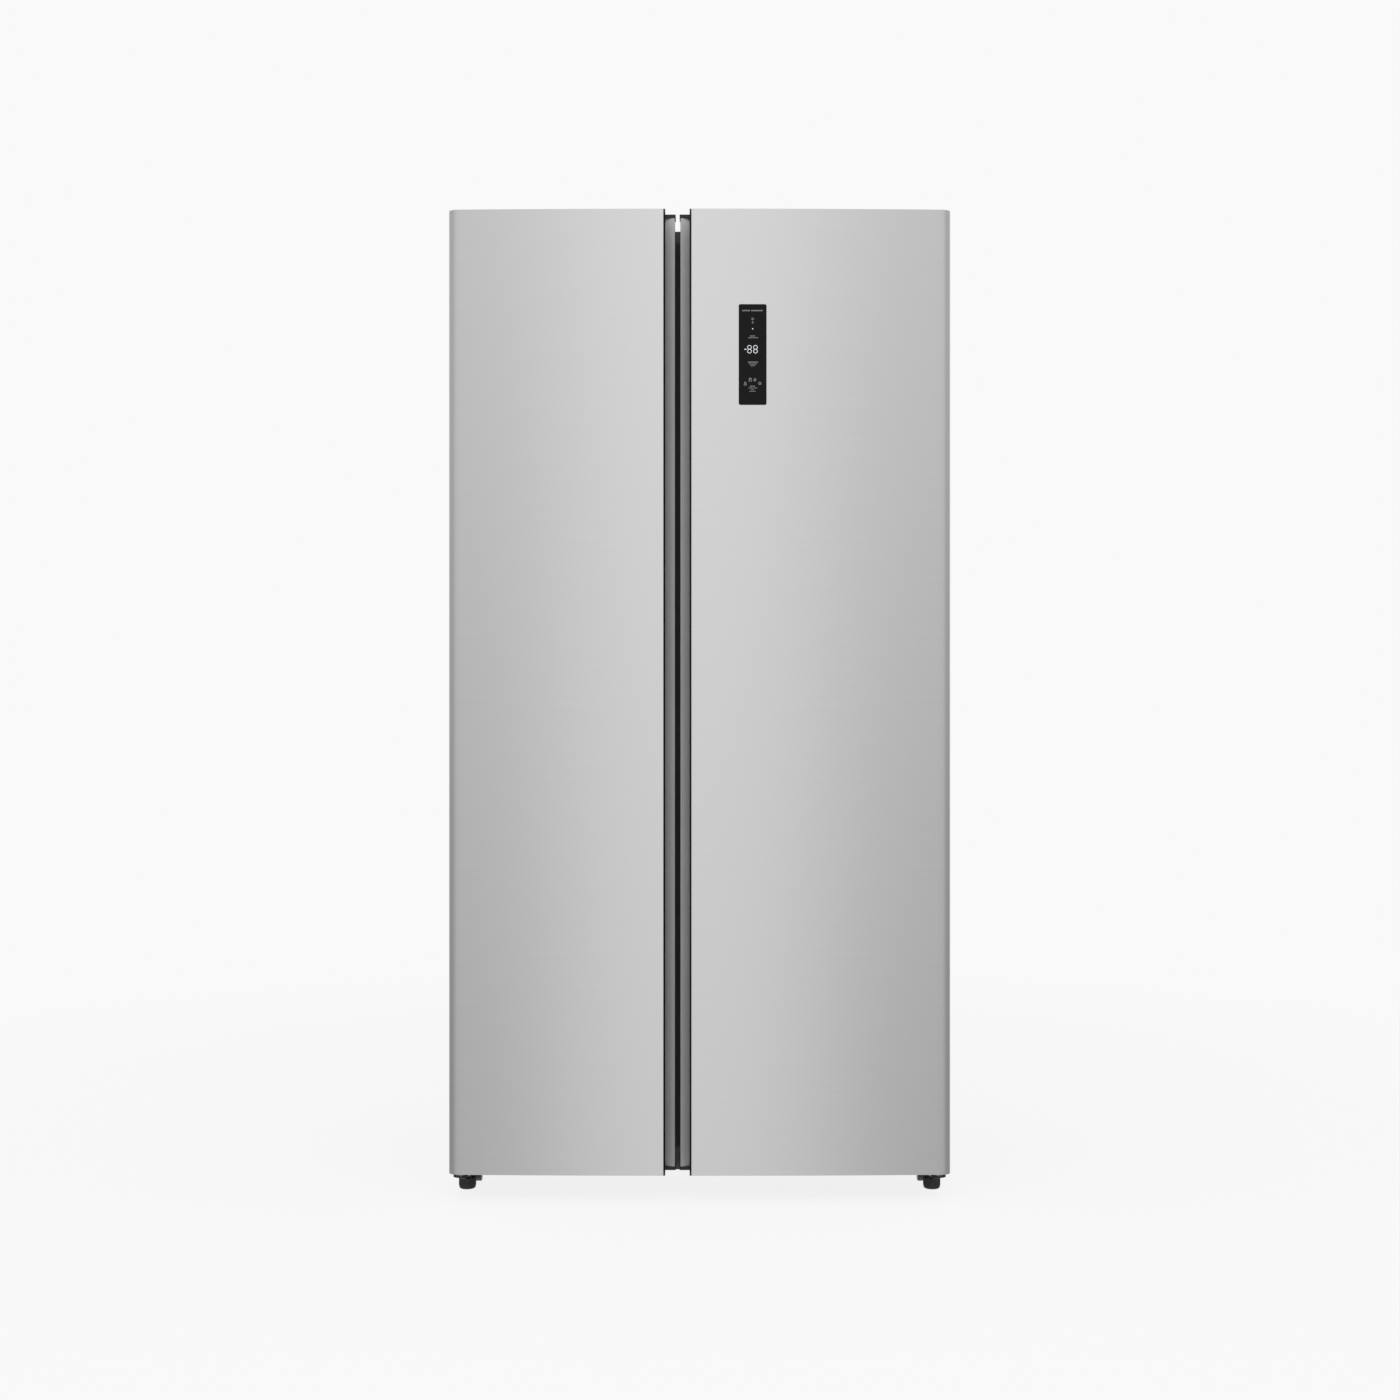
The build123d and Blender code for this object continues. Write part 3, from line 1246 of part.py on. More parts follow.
def save_machine_room():
    save("compressor", compressor())
    save("compressor_grommets", *compressor_grommets())
    save("condenser", condenser())
    save("drip_tray", drip_tray())
    save("condenser_fan_shroud", condenser_fan_shroud())
    save("condenser_fan", condenser_fan())
    save("condenser_fan_motor", condenser_fan_motor())
    save("main_board_box", main_board_box())
    save("refrigerant_pipes", *refrigerant_pipes())
    save("machine_cover", machine_cover())
    save("mains_gland", mains_gland())


os.makedirs("parts", exist_ok=True)
save_doors()
save_cabinet()
save_underside()
save_inside()
save_machine_room()
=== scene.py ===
"""Looks of a side by side refrigerator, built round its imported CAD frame. Run as a script in Blender 4.5."""

import json
import math

import bmesh
import bpy
from bpy.props import FloatProperty, FloatVectorProperty, IntProperty, PointerProperty, StringProperty
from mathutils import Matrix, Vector


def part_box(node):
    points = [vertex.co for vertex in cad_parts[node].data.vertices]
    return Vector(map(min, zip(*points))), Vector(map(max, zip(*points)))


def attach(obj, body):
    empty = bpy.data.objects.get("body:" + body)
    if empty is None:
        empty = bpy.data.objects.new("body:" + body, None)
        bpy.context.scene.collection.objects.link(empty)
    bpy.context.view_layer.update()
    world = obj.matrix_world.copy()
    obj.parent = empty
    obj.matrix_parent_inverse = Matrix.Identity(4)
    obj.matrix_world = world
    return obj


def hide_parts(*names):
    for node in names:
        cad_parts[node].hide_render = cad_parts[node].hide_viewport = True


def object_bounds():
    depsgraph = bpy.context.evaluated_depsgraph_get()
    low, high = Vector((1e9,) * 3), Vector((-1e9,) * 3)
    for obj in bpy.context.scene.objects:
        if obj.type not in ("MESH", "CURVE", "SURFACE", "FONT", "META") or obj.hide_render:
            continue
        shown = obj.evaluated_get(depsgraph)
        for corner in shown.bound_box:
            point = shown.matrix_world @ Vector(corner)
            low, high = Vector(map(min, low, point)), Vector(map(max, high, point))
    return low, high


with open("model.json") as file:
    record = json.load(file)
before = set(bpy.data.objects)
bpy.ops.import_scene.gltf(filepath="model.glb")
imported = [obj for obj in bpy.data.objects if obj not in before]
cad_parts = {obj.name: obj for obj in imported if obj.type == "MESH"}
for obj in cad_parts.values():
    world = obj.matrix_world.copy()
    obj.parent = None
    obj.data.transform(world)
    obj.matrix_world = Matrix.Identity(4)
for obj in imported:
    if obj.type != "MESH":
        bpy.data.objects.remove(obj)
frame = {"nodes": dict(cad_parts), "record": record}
CAD_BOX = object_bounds()

bl_info = {
    "name": "Side by side refrigerator",
    "version": (1, 0, 0),
    "blender": (4, 5, 0),
    "location": "3D View > Sidebar > Refrigerator",
    "description": "Dresses the packed frame of a side by side refrigerator and sets its studio",
    "category": "Object",
}

MM = 0.001
FRONT = CAD_BOX[0].y
OUTER = CAD_BOX[1].x
HALVES = (("freezer", -1), ("fridge", 1))
CRISP_ANGLE = math.radians(32)  # edges sharper than this stay crisp
CLOUDS = 7.0  # broad clouds in a grained surface, about so many to the metre
FLAKE = 14 * MM  # crystals of the zinc
FRONT_STEPS, CORNER_STEPS, HEM_STEPS = 60, 14, 8
PANEL_CORNER = 3 * MM
PANEL_SLIT = 0.2 * MM  # between the panel and the steel
CUTTER_DEPTH = (-5 * MM, 10 * MM)  # from the front
NOSE_BEND = 1 * MM  # radius where the painted-shade black edge turns into the recess
BEND_STEPS, SHADE_STEPS = 5, 2  # of that bend, and how many of them are still black, painted shade for the shadow line beside the steel


class DoorSettings(bpy.types.PropertyGroup):
    """Sizes and colours of the two doors."""

    bow: FloatProperty(name="Bow", description="How far the middle of the front stands ahead of its edges",
                       default=8 * MM, unit="LENGTH")
    corner: FloatProperty(name="Corner", description="Radius of the outer upright corner", default=18 * MM,
                          unit="LENGTH")
    sheet: FloatProperty(name="Sheet", description="Thickness of the steel", default=0.8 * MM, unit="LENGTH")
    hem: FloatProperty(name="Hem", description="Depth of the steel folded back at the grip", default=4 * MM,
                       unit="LENGTH")
    hem_radius: FloatProperty(name="Hem radius", description="Radius of that fold", default=0.8 * MM,
                              unit="LENGTH")
    # The black edge in the settings below is painted shade: a dark strip of the lining standing for the shadow
    # line beside the steel's edge.
    lap: FloatProperty(name="Lap", description="How far the steel laps over the black edge", default=0.1 * MM,
                       unit="LENGTH")
    nose: FloatProperty(name="Nose", description="Width of the black edge beside the steel", default=3.0 * MM,
                        unit="LENGTH")
    nose_set: FloatProperty(name="Nose set", description="Depth of that edge behind the steel",
                            default=1.0 * MM, unit="LENGTH")
    lip: FloatProperty(name="Lip", description="Thickness of the front lip", default=14 * MM, unit="LENGTH")
    grip: FloatProperty(name="Grip", description="Depth of the finger recess", default=52 * MM, unit="LENGTH")
    grip_turn: FloatProperty(name="Grip turn",
                             description="Slope of the recess's back where it goes under the lip",
                             default=math.radians(40), subtype="ANGLE")
    grip_edge: FloatProperty(name="Grip edge", description="Radius of the recess's edge at the gap",
                             default=1.5 * MM, unit="LENGTH")
    undercut: FloatProperty(name="Undercut", description="Reach of the recess behind the lip",
                            default=28 * MM, unit="LENGTH")
    channel: FloatProperty(name="Channel wall", description="Thickness of the recess lining", default=2 * MM,
                           unit="LENGTH")
    steel: StringProperty(name="Steel", description="Colour of the brushed steel, sRGB hex", default="CBCBCB")
    channel_grey: StringProperty(name="Channel grey", description="Colour of the recess lining, sRGB hex",
                                 default="C7C7C7")
    nose_shade_black: StringProperty(name="Nose black", description="Colour of the edge beside the steel, sRGB hex",
                               default="0A0A0B")
    brush: FloatProperty(name="Brush line", description="Spacing of the brush lines as drawn",
                         default=2.6 * MM, unit="LENGTH")


class PanelSettings(bpy.types.PropertyGroup):
    """Marks on the control panel."""

    lift: FloatProperty(name="Lift", description="Height of the marks over the glass", default=0.03 * MM,
                        unit="LENGTH")
    stroke: FloatProperty(name="Stroke", description="Width of a digit's segment", default=1.1 * MM,
                          unit="LENGTH")
    ink: StringProperty(name="Ink", description="Colour of the small print, sRGB hex", default="9A9C9E")
    lit: StringProperty(name="Lit", description="Colour of the lit digits, sRGB hex", default="E4E6E8")


class CabinetSettings(bpy.types.PropertyGroup):
    """Details on the cabinet's back and underside."""

    louvre_columns: IntProperty(name="Louvre columns", description="Columns of louvres", default=8)
    louvre_rows: IntProperty(name="Louvre rows", description="Rows of louvres", default=9)
    louvre_pitch: FloatVectorProperty(name="Louvre pitch", description="Spacing across and up", size=2,
                                      default=(90 * MM, 14 * MM), unit="LENGTH")
    louvre_size: FloatVectorProperty(name="Louvre hood", description="Width, height and thickness of a hood",
                                     size=3, default=(74 * MM, 9 * MM, 0.9 * MM), unit="LENGTH")
    foot_ribs: IntProperty(name="Foot ribs", description="Grip ribs round a levelling foot", default=28)
    bin_count: IntProperty(name="Bins", description="Bins on each door", default=5)
    bin_height: FloatProperty(name="Bin height", description="Height of a bin", default=118 * MM,
                              unit="LENGTH")
    bin_wall: FloatProperty(name="Bin wall", description="Thickness of a bin's wall", default=2.5 * MM,
                            unit="LENGTH")
    rim: FloatProperty(name="Rim", description="Radius of the bead on a bin's edge", default=1.6 * MM,
                       unit="LENGTH")


class StageSettings(bpy.types.PropertyGroup):
    """Camera, background and lamps."""

    background: StringProperty(name="Background", description="Colour of the background, sRGB hex",
                               default="F9F9F9")
    distance: FloatProperty(name="Camera distance", description="From the lens to the doors", default=3.4,
                            unit="LENGTH")
    height: FloatProperty(name="Camera height", description="Height of the lens", default=0.906,
                          unit="LENGTH")
    aside: FloatProperty(name="Camera aside", description="Lens to the right of the middle", default=0.7 * MM,
                         unit="LENGTH")
    lens: FloatProperty(name="Lens", description="Focal length in millimetres", default=48.6)
    fill: FloatProperty(name="Fill", description="Strength of the even studio light", default=0.62)
    column: FloatVectorProperty(name="Bright column",
                                description="Half width of the bright column on the backdrop behind the "
                                "camera, where its fall begins and ends",
                                size=2, default=(0.78, 1.17), unit="LENGTH")
    column_aside: FloatProperty(name="Column aside",
                                description="That column's middle to the right of the camera",
                                default=-0.06, unit="LENGTH")
    sides: FloatVectorProperty(name="Backdrop sides", description="Level at the backdrop's foot and head",
                               size=2, default=(0.40, 1.06))
    rise: FloatVectorProperty(name="Column rise", description="What the column adds at the foot and the head",
                              size=2, default=(0.54, 0.32))
    flag: FloatVectorProperty(name="Side flags",
                              description="Level of the grey cards beside the doors, at foot and head",
                              size=2, default=(0.40, 0.66))
    flag_lift: FloatProperty(name="Flag lift",
                             description="How much brighter those cards are at their front end", default=1.45)
    paper: FloatVectorProperty(name="Paper",
                               description="Glow of the floor, and how much of the light it adds",
                               size=2, default=(0.90, 0.12))
    paper_fade: FloatVectorProperty(name="Paper fade",
                                    description="Distances over which the floor fades into the background",
                                    size=2, default=(1.3, 2.8), unit="LENGTH")
    top: FloatProperty(name="Top lamp", description="Power of the wide lamp over the camera", default=60.0,
                       unit="POWER")


GROUPS = {"doors": DoorSettings, "panel": PanelSettings, "cabinet": CabinetSettings, "stage": StageSettings}


# Colours and nodes

def linear(colour):
    """sRGB hex to linear RGBA."""
    parts = [int(colour[i:i + 2], 16) / 255 for i in (0, 2, 4)]
    return [c / 12.92 if c <= 0.04045 else ((c + 0.055) / 1.055) ** 2.4 for c in parts] + [1.0]


def node(tree, kind, values=None, links=None, **settings):
    """Add a node: its own settings, then its sockets' values and the outputs that feed them."""
    made = tree.nodes.new(kind)
    for name, value in settings.items():
        setattr(made, name, value)
    for socket, value in (values or {}).items():
        made.inputs[socket].default_value = value
    for socket, source in (links or {}).items():
        tree.links.new(source, made.inputs[socket])
    return made


def surface(name, colour, roughness, **sockets):
    """New material with one shader, and that shader's sockets set."""
    made = bpy.data.materials.new(name)
    made.use_nodes = True
    shader = made.node_tree.nodes["Principled BSDF"]
    shader.inputs["Base Color"].default_value = linear(colour)
    shader.inputs["Roughness"].default_value = roughness
    for socket, value in sockets.items():
        shader.inputs[socket.replace("_", " ")].default_value = value
    made.diffuse_color = linear(colour)
    return made, made.node_tree, shader


def grained(name, colour, roughness, grain, depth, tint=0.06, polish=0.05, **sockets):
    """Material whose tint, roughness and relief follow an even grain, given in millimetres."""
    made, tree, shader = surface(name, colour, roughness, **sockets)
    place = node(tree, "ShaderNodeTexCoord").outputs["Object"]
    fine = node(tree, "ShaderNodeTexNoise", {"Scale": 1 / (grain * MM), "Detail": 2.0}, {"Vector": place})
    broad = node(tree, "ShaderNodeTexNoise", {"Scale": CLOUDS, "Detail": 2.0}, {"Vector": place})
    both = node(tree, "ShaderNodeMath", None, {0: fine.outputs["Fac"], 1: broad.outputs["Fac"]},
                operation="ADD")
    low = [c * (1 - tint) for c in linear(colour)[:3]] + [1.0]
    high = [min(c * (1 + tint), 1.0) for c in linear(colour)[:3]] + [1.0]
    share = node(tree, "ShaderNodeMapRange", {"From Min": 0.7, "From Max": 1.3}, {"Value": both.outputs[0]})
    mix = node(tree, "ShaderNodeMix", {6: low, 7: high}, {0: share.outputs[0]}, data_type="RGBA")
    tree.links.new(mix.outputs[2], shader.inputs["Base Color"])
    sheen = node(tree, "ShaderNodeMapRange", {"To Min": roughness - polish, "To Max": roughness + polish},
                 {"Value": share.outputs[0]})
    tree.links.new(sheen.outputs[0], shader.inputs["Roughness"])
    bump = node(tree, "ShaderNodeBump", {"Strength": 0.5, "Distance": depth * MM},
                {"Height": fine.outputs["Fac"]})
    tree.links.new(bump.outputs[0], shader.inputs["Normal"])
    return made


def brushed_steel(doors):
    """Stainless sheet with level brush lines: sharp side to side and soft up and down."""
    made, tree, shader = surface("stainless_steel_brushed", doors.steel, 0.34, Metallic=1.0, Anisotropic=0.8,
                                 Anisotropic_Rotation=0.25)
    uv = node(tree, "ShaderNodeUVMap", uv_map="sheet").outputs[0]
    # Real brush lines are about 0.1 mm apart; these are drawn coarser so that they show from the camera.
    stretch = node(tree, "ShaderNodeMapping", {"Scale": (4.0, 1 / doors.brush, 1.0)}, {"Vector": uv})
    lines = node(tree, "ShaderNodeTexNoise", {"Scale": 1.0, "Detail": 4.0, "Roughness": 0.65},
                 {"Vector": stretch.outputs[0]})
    base = linear(doors.steel)
    shades = {6: [c * 0.95 for c in base[:3]] + [1.0], 7: [c * 1.05 for c in base[:3]] + [1.0]}
    mix = node(tree, "ShaderNodeMix", shades, {0: lines.outputs["Fac"]}, data_type="RGBA")
    tree.links.new(mix.outputs[2], shader.inputs["Base Color"])
    rough = node(tree, "ShaderNodeMapRange", {"To Min": 0.30, "To Max": 0.38},
                 {"Value": lines.outputs["Fac"]})
    tree.links.new(rough.outputs[0], shader.inputs["Roughness"])
    along = node(tree, "ShaderNodeTangent", direction_type="UV_MAP", uv_map="sheet")
    tree.links.new(along.outputs[0], shader.inputs["Tangent"])
    return made


def galvanised():
    """Hot-dip zinc on sheet, with the dull flakes of its crystals."""
    made, tree, shader = surface("galvanised_sheet", "A9ACAE", 0.45, Metallic=0.85)
    place = node(tree, "ShaderNodeTexCoord").outputs["Object"]
    flakes = node(tree, "ShaderNodeTexVoronoi", {"Scale": 1 / FLAKE}, {"Vector": place})
    grey = node(tree, "ShaderNodeSeparateColor", None, {0: flakes.outputs["Color"]}).outputs[0]
    mix = node(tree, "ShaderNodeMix", {6: linear("A5A8AA"), 7: linear("AEB1B2")}, {0: grey}, data_type="RGBA")
    tree.links.new(mix.outputs[2], shader.inputs["Base Color"])
    rough = node(tree, "ShaderNodeMapRange", {"To Min": 0.42, "To Max": 0.50}, {"Value": grey})
    tree.links.new(rough.outputs[0], shader.inputs["Roughness"])
    return made


def see_through(name, colour, roughness, ior, ripple):
    """Clear material with a faint ripple from its mould or float bath, given in millimetres."""
    made, tree, shader = surface(name, colour, roughness, IOR=ior, Transmission_Weight=1.0)
    place = node(tree, "ShaderNodeTexCoord").outputs["Object"]
    wave = node(tree, "ShaderNodeTexNoise", {"Scale": 1 / (ripple * MM), "Detail": 1.0}, {"Vector": place})
    bump = node(tree, "ShaderNodeBump", {"Strength": 0.15, "Distance": 0.05 * MM},
                {"Height": wave.outputs["Fac"]})
    tree.links.new(bump.outputs[0], shader.inputs["Normal"])
    rough = node(tree, "ShaderNodeMapRange", {"To Min": roughness * 0.6, "To Max": roughness * 1.4},
                 {"Value": wave.outputs["Fac"]})
    tree.links.new(rough.outputs[0], shader.inputs["Roughness"])
    return made


def finishes(scene):
    """One material for each of the record's slots."""
    doors = scene.fridge_doors
    return {
        "door_steel": brushed_steel(doors),
        # ABS extrusion, satin grey in the recess.
        "channel_grey": grained("abs_extruded_grey", doors.channel_grey, 0.42, 1.2, 0.02, tint=0.03),
        # The lining's edge beside the steel, black and dull: painted shade that stands for the shadow line
        # along the steel's edge.
        "nose_shade_black": grained("painted_shade_black_edge", doors.nose_shade_black, 0.42, 1.2, 0.02, tint=0.03,
                              Specular_IOR_Level=0.08),
        # Powder coat on steel sheet: dark satin grey with a fine orange peel.
        "cabinet_paint": grained("powder_coat_dark_grey", "4A4B4E", 0.42, 1.6, 0.05, tint=0.025,
                                 polish=0.015),
        "galvanised": galvanised(),
        # Zinc plate, bright and slightly clouded.
        "zinc": grained("zinc_plated_steel", "B8B9B6", 0.32, 4.0, 0.01, Metallic=1.0),
        # Moulded polypropylene, black with a spark-eroded grain.
        "cap_plastic": grained("polypropylene_black", "1B1B1C", 0.55, 0.9, 0.04),
        # Rigid polyurethane foam, cream and open where it is cut.
        "foam": grained("polyurethane_foam", "E3D3A4", 0.9, 2.5, 0.3),
        # Vacuum-formed polystyrene, white and half glossy with a soft waviness.
        "liner_white": grained("polystyrene_white", "EDEEEC", 0.32, 14.0, 0.004, tint=0.006, polish=0.01),
        # Plasticised PVC, dull dark grey.
        "gasket": grained("pvc_soft_grey", "3A3B3C", 0.62, 1.5, 0.03),
        # Clear styrene tubs with a faint blue cast.
        "clear_plastic": see_through("styrene_clear", "F9FBFC", 0.08, 1.57, 30.0),
        # Tinted acrylic with a hard anti-glare coat, so it stays black.
        "panel_glass": grained("acrylic_black_antiglare", "101011", 0.32, 2.0, 0.005, tint=0.03,
                               Specular_IOR_Level=0.12),
        # Epoxy board under green solder mask.
        "circuit_board": grained("epoxy_board_green", "1E5A38", 0.4, 2.0, 0.03),
        # Toughened float glass with its green edge.
        "shelf_glass": see_through("float_glass_toughened", "E8F4EF", 0.03, 1.52, 60.0),
        # Moulded ABS with a pale satin finish.
        "trim_plastic": grained("abs_pale_satin", "D5D8DA", 0.35, 1.2, 0.02, tint=0.02),
        # Opal polycarbonate over the lamps.
        "lamp_lens": grained("polycarbonate_opal", "F4F3EC", 0.3, 3.0, 0.03, tint=0.02),
        # Stoved enamel on the pressed pot.
        "black_enamel": grained("enamel_black", "141415", 0.28, 3.0, 0.03),
        # Matt dark film on the strip between the compartments.
        "mullion_film": grained("film_dark_matt", "4E4E50", 0.8, 1.6, 0.03, Specular_IOR_Level=0.15),
        # Nitrile rubber, matt.
        "rubber": grained("nitrile_rubber", "1A1A1A", 0.75, 1.2, 0.05),
        # Rolled aluminium fin stock.
        "fin_aluminium": grained("aluminium_fin_stock", "C6C9CC", 0.36, 2.5, 0.02, Metallic=1.0),
        # Drawn copper, a little dulled by handling.
        "copper": grained("copper_tube", "B9704A", 0.3, 5.0, 0.01, tint=0.1, Metallic=1.0),
        # Glass-filled polypropylene of the fans.
        "fan_plastic": grained("polypropylene_fan", "2C2D2F", 0.48, 1.0, 0.03),
        # Talc-filled polypropylene of the trays and boxes.
        "tray_plastic": grained("polypropylene_tray", "3B3C3F", 0.5, 1.0, 0.04),
        # Moulded nylon feet, dark and matt.
        "foot_plastic": grained("nylon_foot", "2E2F30", 0.5, 0.9, 0.03),
        # Nylon rollers, scuffed in use.
        "nylon": grained("nylon_roller", "343536", 0.45, 2.0, 0.05, tint=0.12),
    }


# Meshes

def crisp(bm):
    """Smooth shading that keeps sharp edges sharp."""
    bmesh.ops.recalc_face_normals(bm, faces=bm.faces)
    for face in bm.faces:
        face.smooth = True
    for edge in bm.edges:
        edge.smooth = edge.calc_face_angle(math.pi) < CRISP_ANGLE


def piece(name, mesh, material, body, slot, *stands_for):
    """Object for a finished mesh, riding on its body and standing for its CAD nodes."""
    made = bpy.data.objects.new(name, mesh)
    bpy.context.scene.collection.objects.link(made)
    mesh.materials.clear()
    mesh.materials.append(material)
    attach(made, body)
    if stands_for:
        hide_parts(*stands_for)
    return made


def to_mesh(name, bm):
    """Finished mesh with its normals and shading set."""
    crisp(bm)
    mesh = bpy.data.meshes.new(name)
    bm.to_mesh(mesh)
    bm.free()
    return mesh


def arc(x, y, radius, start, end, steps):
    """Points on a circle between two angles."""
    turns = [start + (end - start) * i / steps for i in range(steps + 1)]
    return [(x + radius * math.cos(a), y + radius * math.sin(a)) for a in turns]


def ribbon(path, wall, z0, z1, sign):
    """Upright sheet along a plan path, its thickness to the path's left, mirrored for the freezer."""
    bm = bmesh.new()
    rows = []
    for i, (x, y) in enumerate(path):
        before, after = path[max(i - 1, 0)], path[min(i + 1, len(path) - 1)]
        a = Vector((x - before[0], y - before[1])).normalized() if i else None
        b = Vector((after[0] - x, after[1] - y)).normalized() if i < len(path) - 1 else None
        a, b = a or b, b or a
        side = Vector((-a.y - b.y, a.x + b.x)).normalized()
        side *= wall / max(side.dot(Vector((-a.y, a.x))), 0.3)
        spots = [(x, y, z0), (x + side.x, y + side.y, z0), (x + side.x, y + side.y, z1), (x, y, z1)]
        rows.append([bm.verts.new((sign * p[0], p[1], p[2])) for p in spots])
    for one, two in zip(rows, rows[1:]):
        for k in range(4):
            bm.faces.new((one[k], one[(k + 1) % 4], two[(k + 1) % 4], two[k]))
    bm.faces.new(rows[0])
    bm.faces.new(rows[-1])
    return bm


def bow_radius():
    """Radius of the bow over the whole width."""
    bow = bpy.context.scene.fridge_doors.bow
    return (OUTER**2 + bow**2) / (2 * bow)


def bow_y(x):
    """Y of the bowed front."""
    radius = bow_radius()
    return FRONT + radius - math.sqrt(radius**2 - x**2)


def front_path(doors, inner, back):
    """Plan of a steel front: from the hem at the grip over the bow and round the corner to the back."""
    radius, r, hem = bow_radius(), doors.corner, doors.hem_radius
    edge_y = bow_y(inner + hem)
    path = [(inner, edge_y + doors.hem)]
    path += arc(inner + hem, edge_y + hem, hem, math.pi, 1.5 * math.pi, HEM_STEPS)
    centre = FRONT + radius - math.sqrt((radius - r)**2 - (OUTER - r)**2)
    turn = math.atan2(centre - FRONT - radius, OUTER - r)
    reach = radius * math.cos(turn)
    start = inner + hem
    spots = [start + (reach - start) * i / FRONT_STEPS for i in range(1, FRONT_STEPS)]
    path += [(x, bow_y(x)) for x in spots]
    path += arc(OUTER - r, centre, r, turn, 0.0, CORNER_STEPS)
    return path + [(OUTER, back)]


def sheet_uv(mesh):
    """Map that runs along the sheet and up it, in metres."""
    layer = mesh.uv_layers.new(name="sheet")
    for loop in mesh.loops:
        x, y, z = mesh.vertices[loop.vertex_index].co
        layer.data[loop.index].uv = (abs(x) + y, z)


def window(mesh, node_name, clear):
    """Cut the control panel's window through a sheet."""
    low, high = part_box(node_name)
    radius = PANEL_CORNER + clear
    x0, x1, z0, z1 = low.x - clear, high.x + clear, low.z - clear, high.z + clear
    quarter = math.pi / 2
    corners = ((x1 - radius, z1 - radius, 0), (x0 + radius, z1 - radius, 1), (x0 + radius, z0 + radius, 2),
               (x1 - radius, z0 + radius, 3))
    outline = [p for x, z, k in corners for p in arc(x, z, radius, k * quarter, (k + 1) * quarter, 6)]
    bm = bmesh.new()
    rims = [[bm.verts.new((x, y, z)) for x, z in outline] for y in (FRONT + d for d in CUTTER_DEPTH)]
    for rim in rims:
        bm.faces.new(rim)
    for i in range(len(outline)):
        k = (i + 1) % len(outline)
        bm.faces.new((rims[0][i], rims[0][k], rims[1][k], rims[1][i]))
    cutter = bpy.data.objects.new("window_cutter", to_mesh("window_cutter", bm))
    holder = bpy.data.objects.new("window_sheet", mesh)
    for made in (cutter, holder):
        bpy.context.scene.collection.objects.link(made)
    cut = holder.modifiers.new("window", "BOOLEAN")
    cut.object = cutter
    cut.solver = "EXACT"
    bpy.context.view_layer.update()
    done = bpy.data.meshes.new_from_object(holder.evaluated_get(bpy.context.evaluated_depsgraph_get()))
    bpy.data.objects.remove(holder)
    bpy.data.objects.remove(cutter)
    bm = bmesh.new()
    bm.from_mesh(done)
    return to_mesh(mesh.name, bm)


class REFRIGERATOR_OT_steel_fronts(bpy.types.Operator):
    """Bowed steel fronts with their hems, corners and the control panel's window"""

    bl_idname = "refrigerator.steel_fronts"
    bl_label = "Steel fronts"

    def execute(self, context):
        doors = context.scene.fridge_doors
        for half, sign in HALVES:
            low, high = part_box(f"{half}_door_skin")
            inner = min(sign * low.x, sign * high.x) - doors.lap
            bm = ribbon(front_path(doors, inner, high.y), doors.sheet, low.z, high.z, sign)
            mesh = to_mesh(f"{half}_door_front", bm)
            if half == "fridge":
                mesh = window(mesh, "control_panel_glass", PANEL_SLIT)
            sheet_uv(mesh)
            piece(f"{half}_door_front", mesh, FINISH["door_steel"], f"{half}_door", "door_steel",
                  f"{half}_door_skin")
        return {"FINISHED"}


class REFRIGERATOR_OT_grip_channels(bpy.types.Operator):
    """Linings of the full-height finger recesses"""

    bl_idname = "refrigerator.grip_channels"
    bl_label = "Grip channels"

    def execute(self, context):
        doors = context.scene.fridge_doors
        for half, sign in HALVES:
            low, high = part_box(f"{half}_door_grip_channel")
            inner = min(sign * low.x, sign * high.x)
            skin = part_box(f"{half}_door_skin")
            edge = min(sign * skin[0].x, sign * skin[1].x)
            lip, back = FRONT + doors.lip, FRONT + doors.grip
            radius = (back - lip) / 2
            nose = edge - doors.nose
            soft = doors.grip_edge
            centre = edge + doors.undercut - radius
            turn = doors.grip_turn
            meet_x, meet_y = arc(centre, lip + radius, radius, math.pi / 2 + turn, 0, 1)[0]
            shoulder = (meet_x - inner) / math.sin(turn)
            brow = meet_y + shoulder * math.cos(turn)
            tip = bow_y(edge) + doors.nose_set
            bend = arc(nose + NOSE_BEND, lip - NOSE_BEND, NOSE_BEND, math.pi, math.pi / 2, BEND_STEPS)
            # These points make the black piece, painted shade for the shadow line beside the steel.
            black = [(edge, tip), (nose, tip)] + bend[:SHADE_STEPS + 1]
            path = bend[SHADE_STEPS:]
            path += arc(centre, lip + radius, radius, -math.pi / 2, math.pi / 2 + turn, 24)
            left_over = math.asin(soft / shoulder)
            path += arc(inner, brow, shoulder, turn - math.pi / 2, left_over - math.pi / 2, 16)[1:]
            path += arc(inner + soft, path[-1][1] + soft, soft, 1.5 * math.pi, math.pi, 8)[1:]
            path.append((inner, high.y))
            bm = ribbon(path[::-1], doors.channel, low.z, high.z, sign)
            piece(f"{half}_grip_lining", to_mesh(f"{half}_grip_lining", bm), FINISH["channel_grey"],
                  f"{half}_door", "channel_grey", f"{half}_door_grip_channel")
            # Painted shade: the lining's front end becomes a separate black piece that stands for the shadow
            # line beside the steel.
            bm = ribbon(black[::-1], doors.channel, low.z, high.z, sign)
            piece(f"{half}_grip_nose_painted_shade", to_mesh(f"{half}_grip_nose_painted_shade", bm), FINISH["nose_shade_black"], f"{half}_door",
                  "channel_grey")
        return {"FINISHED"}


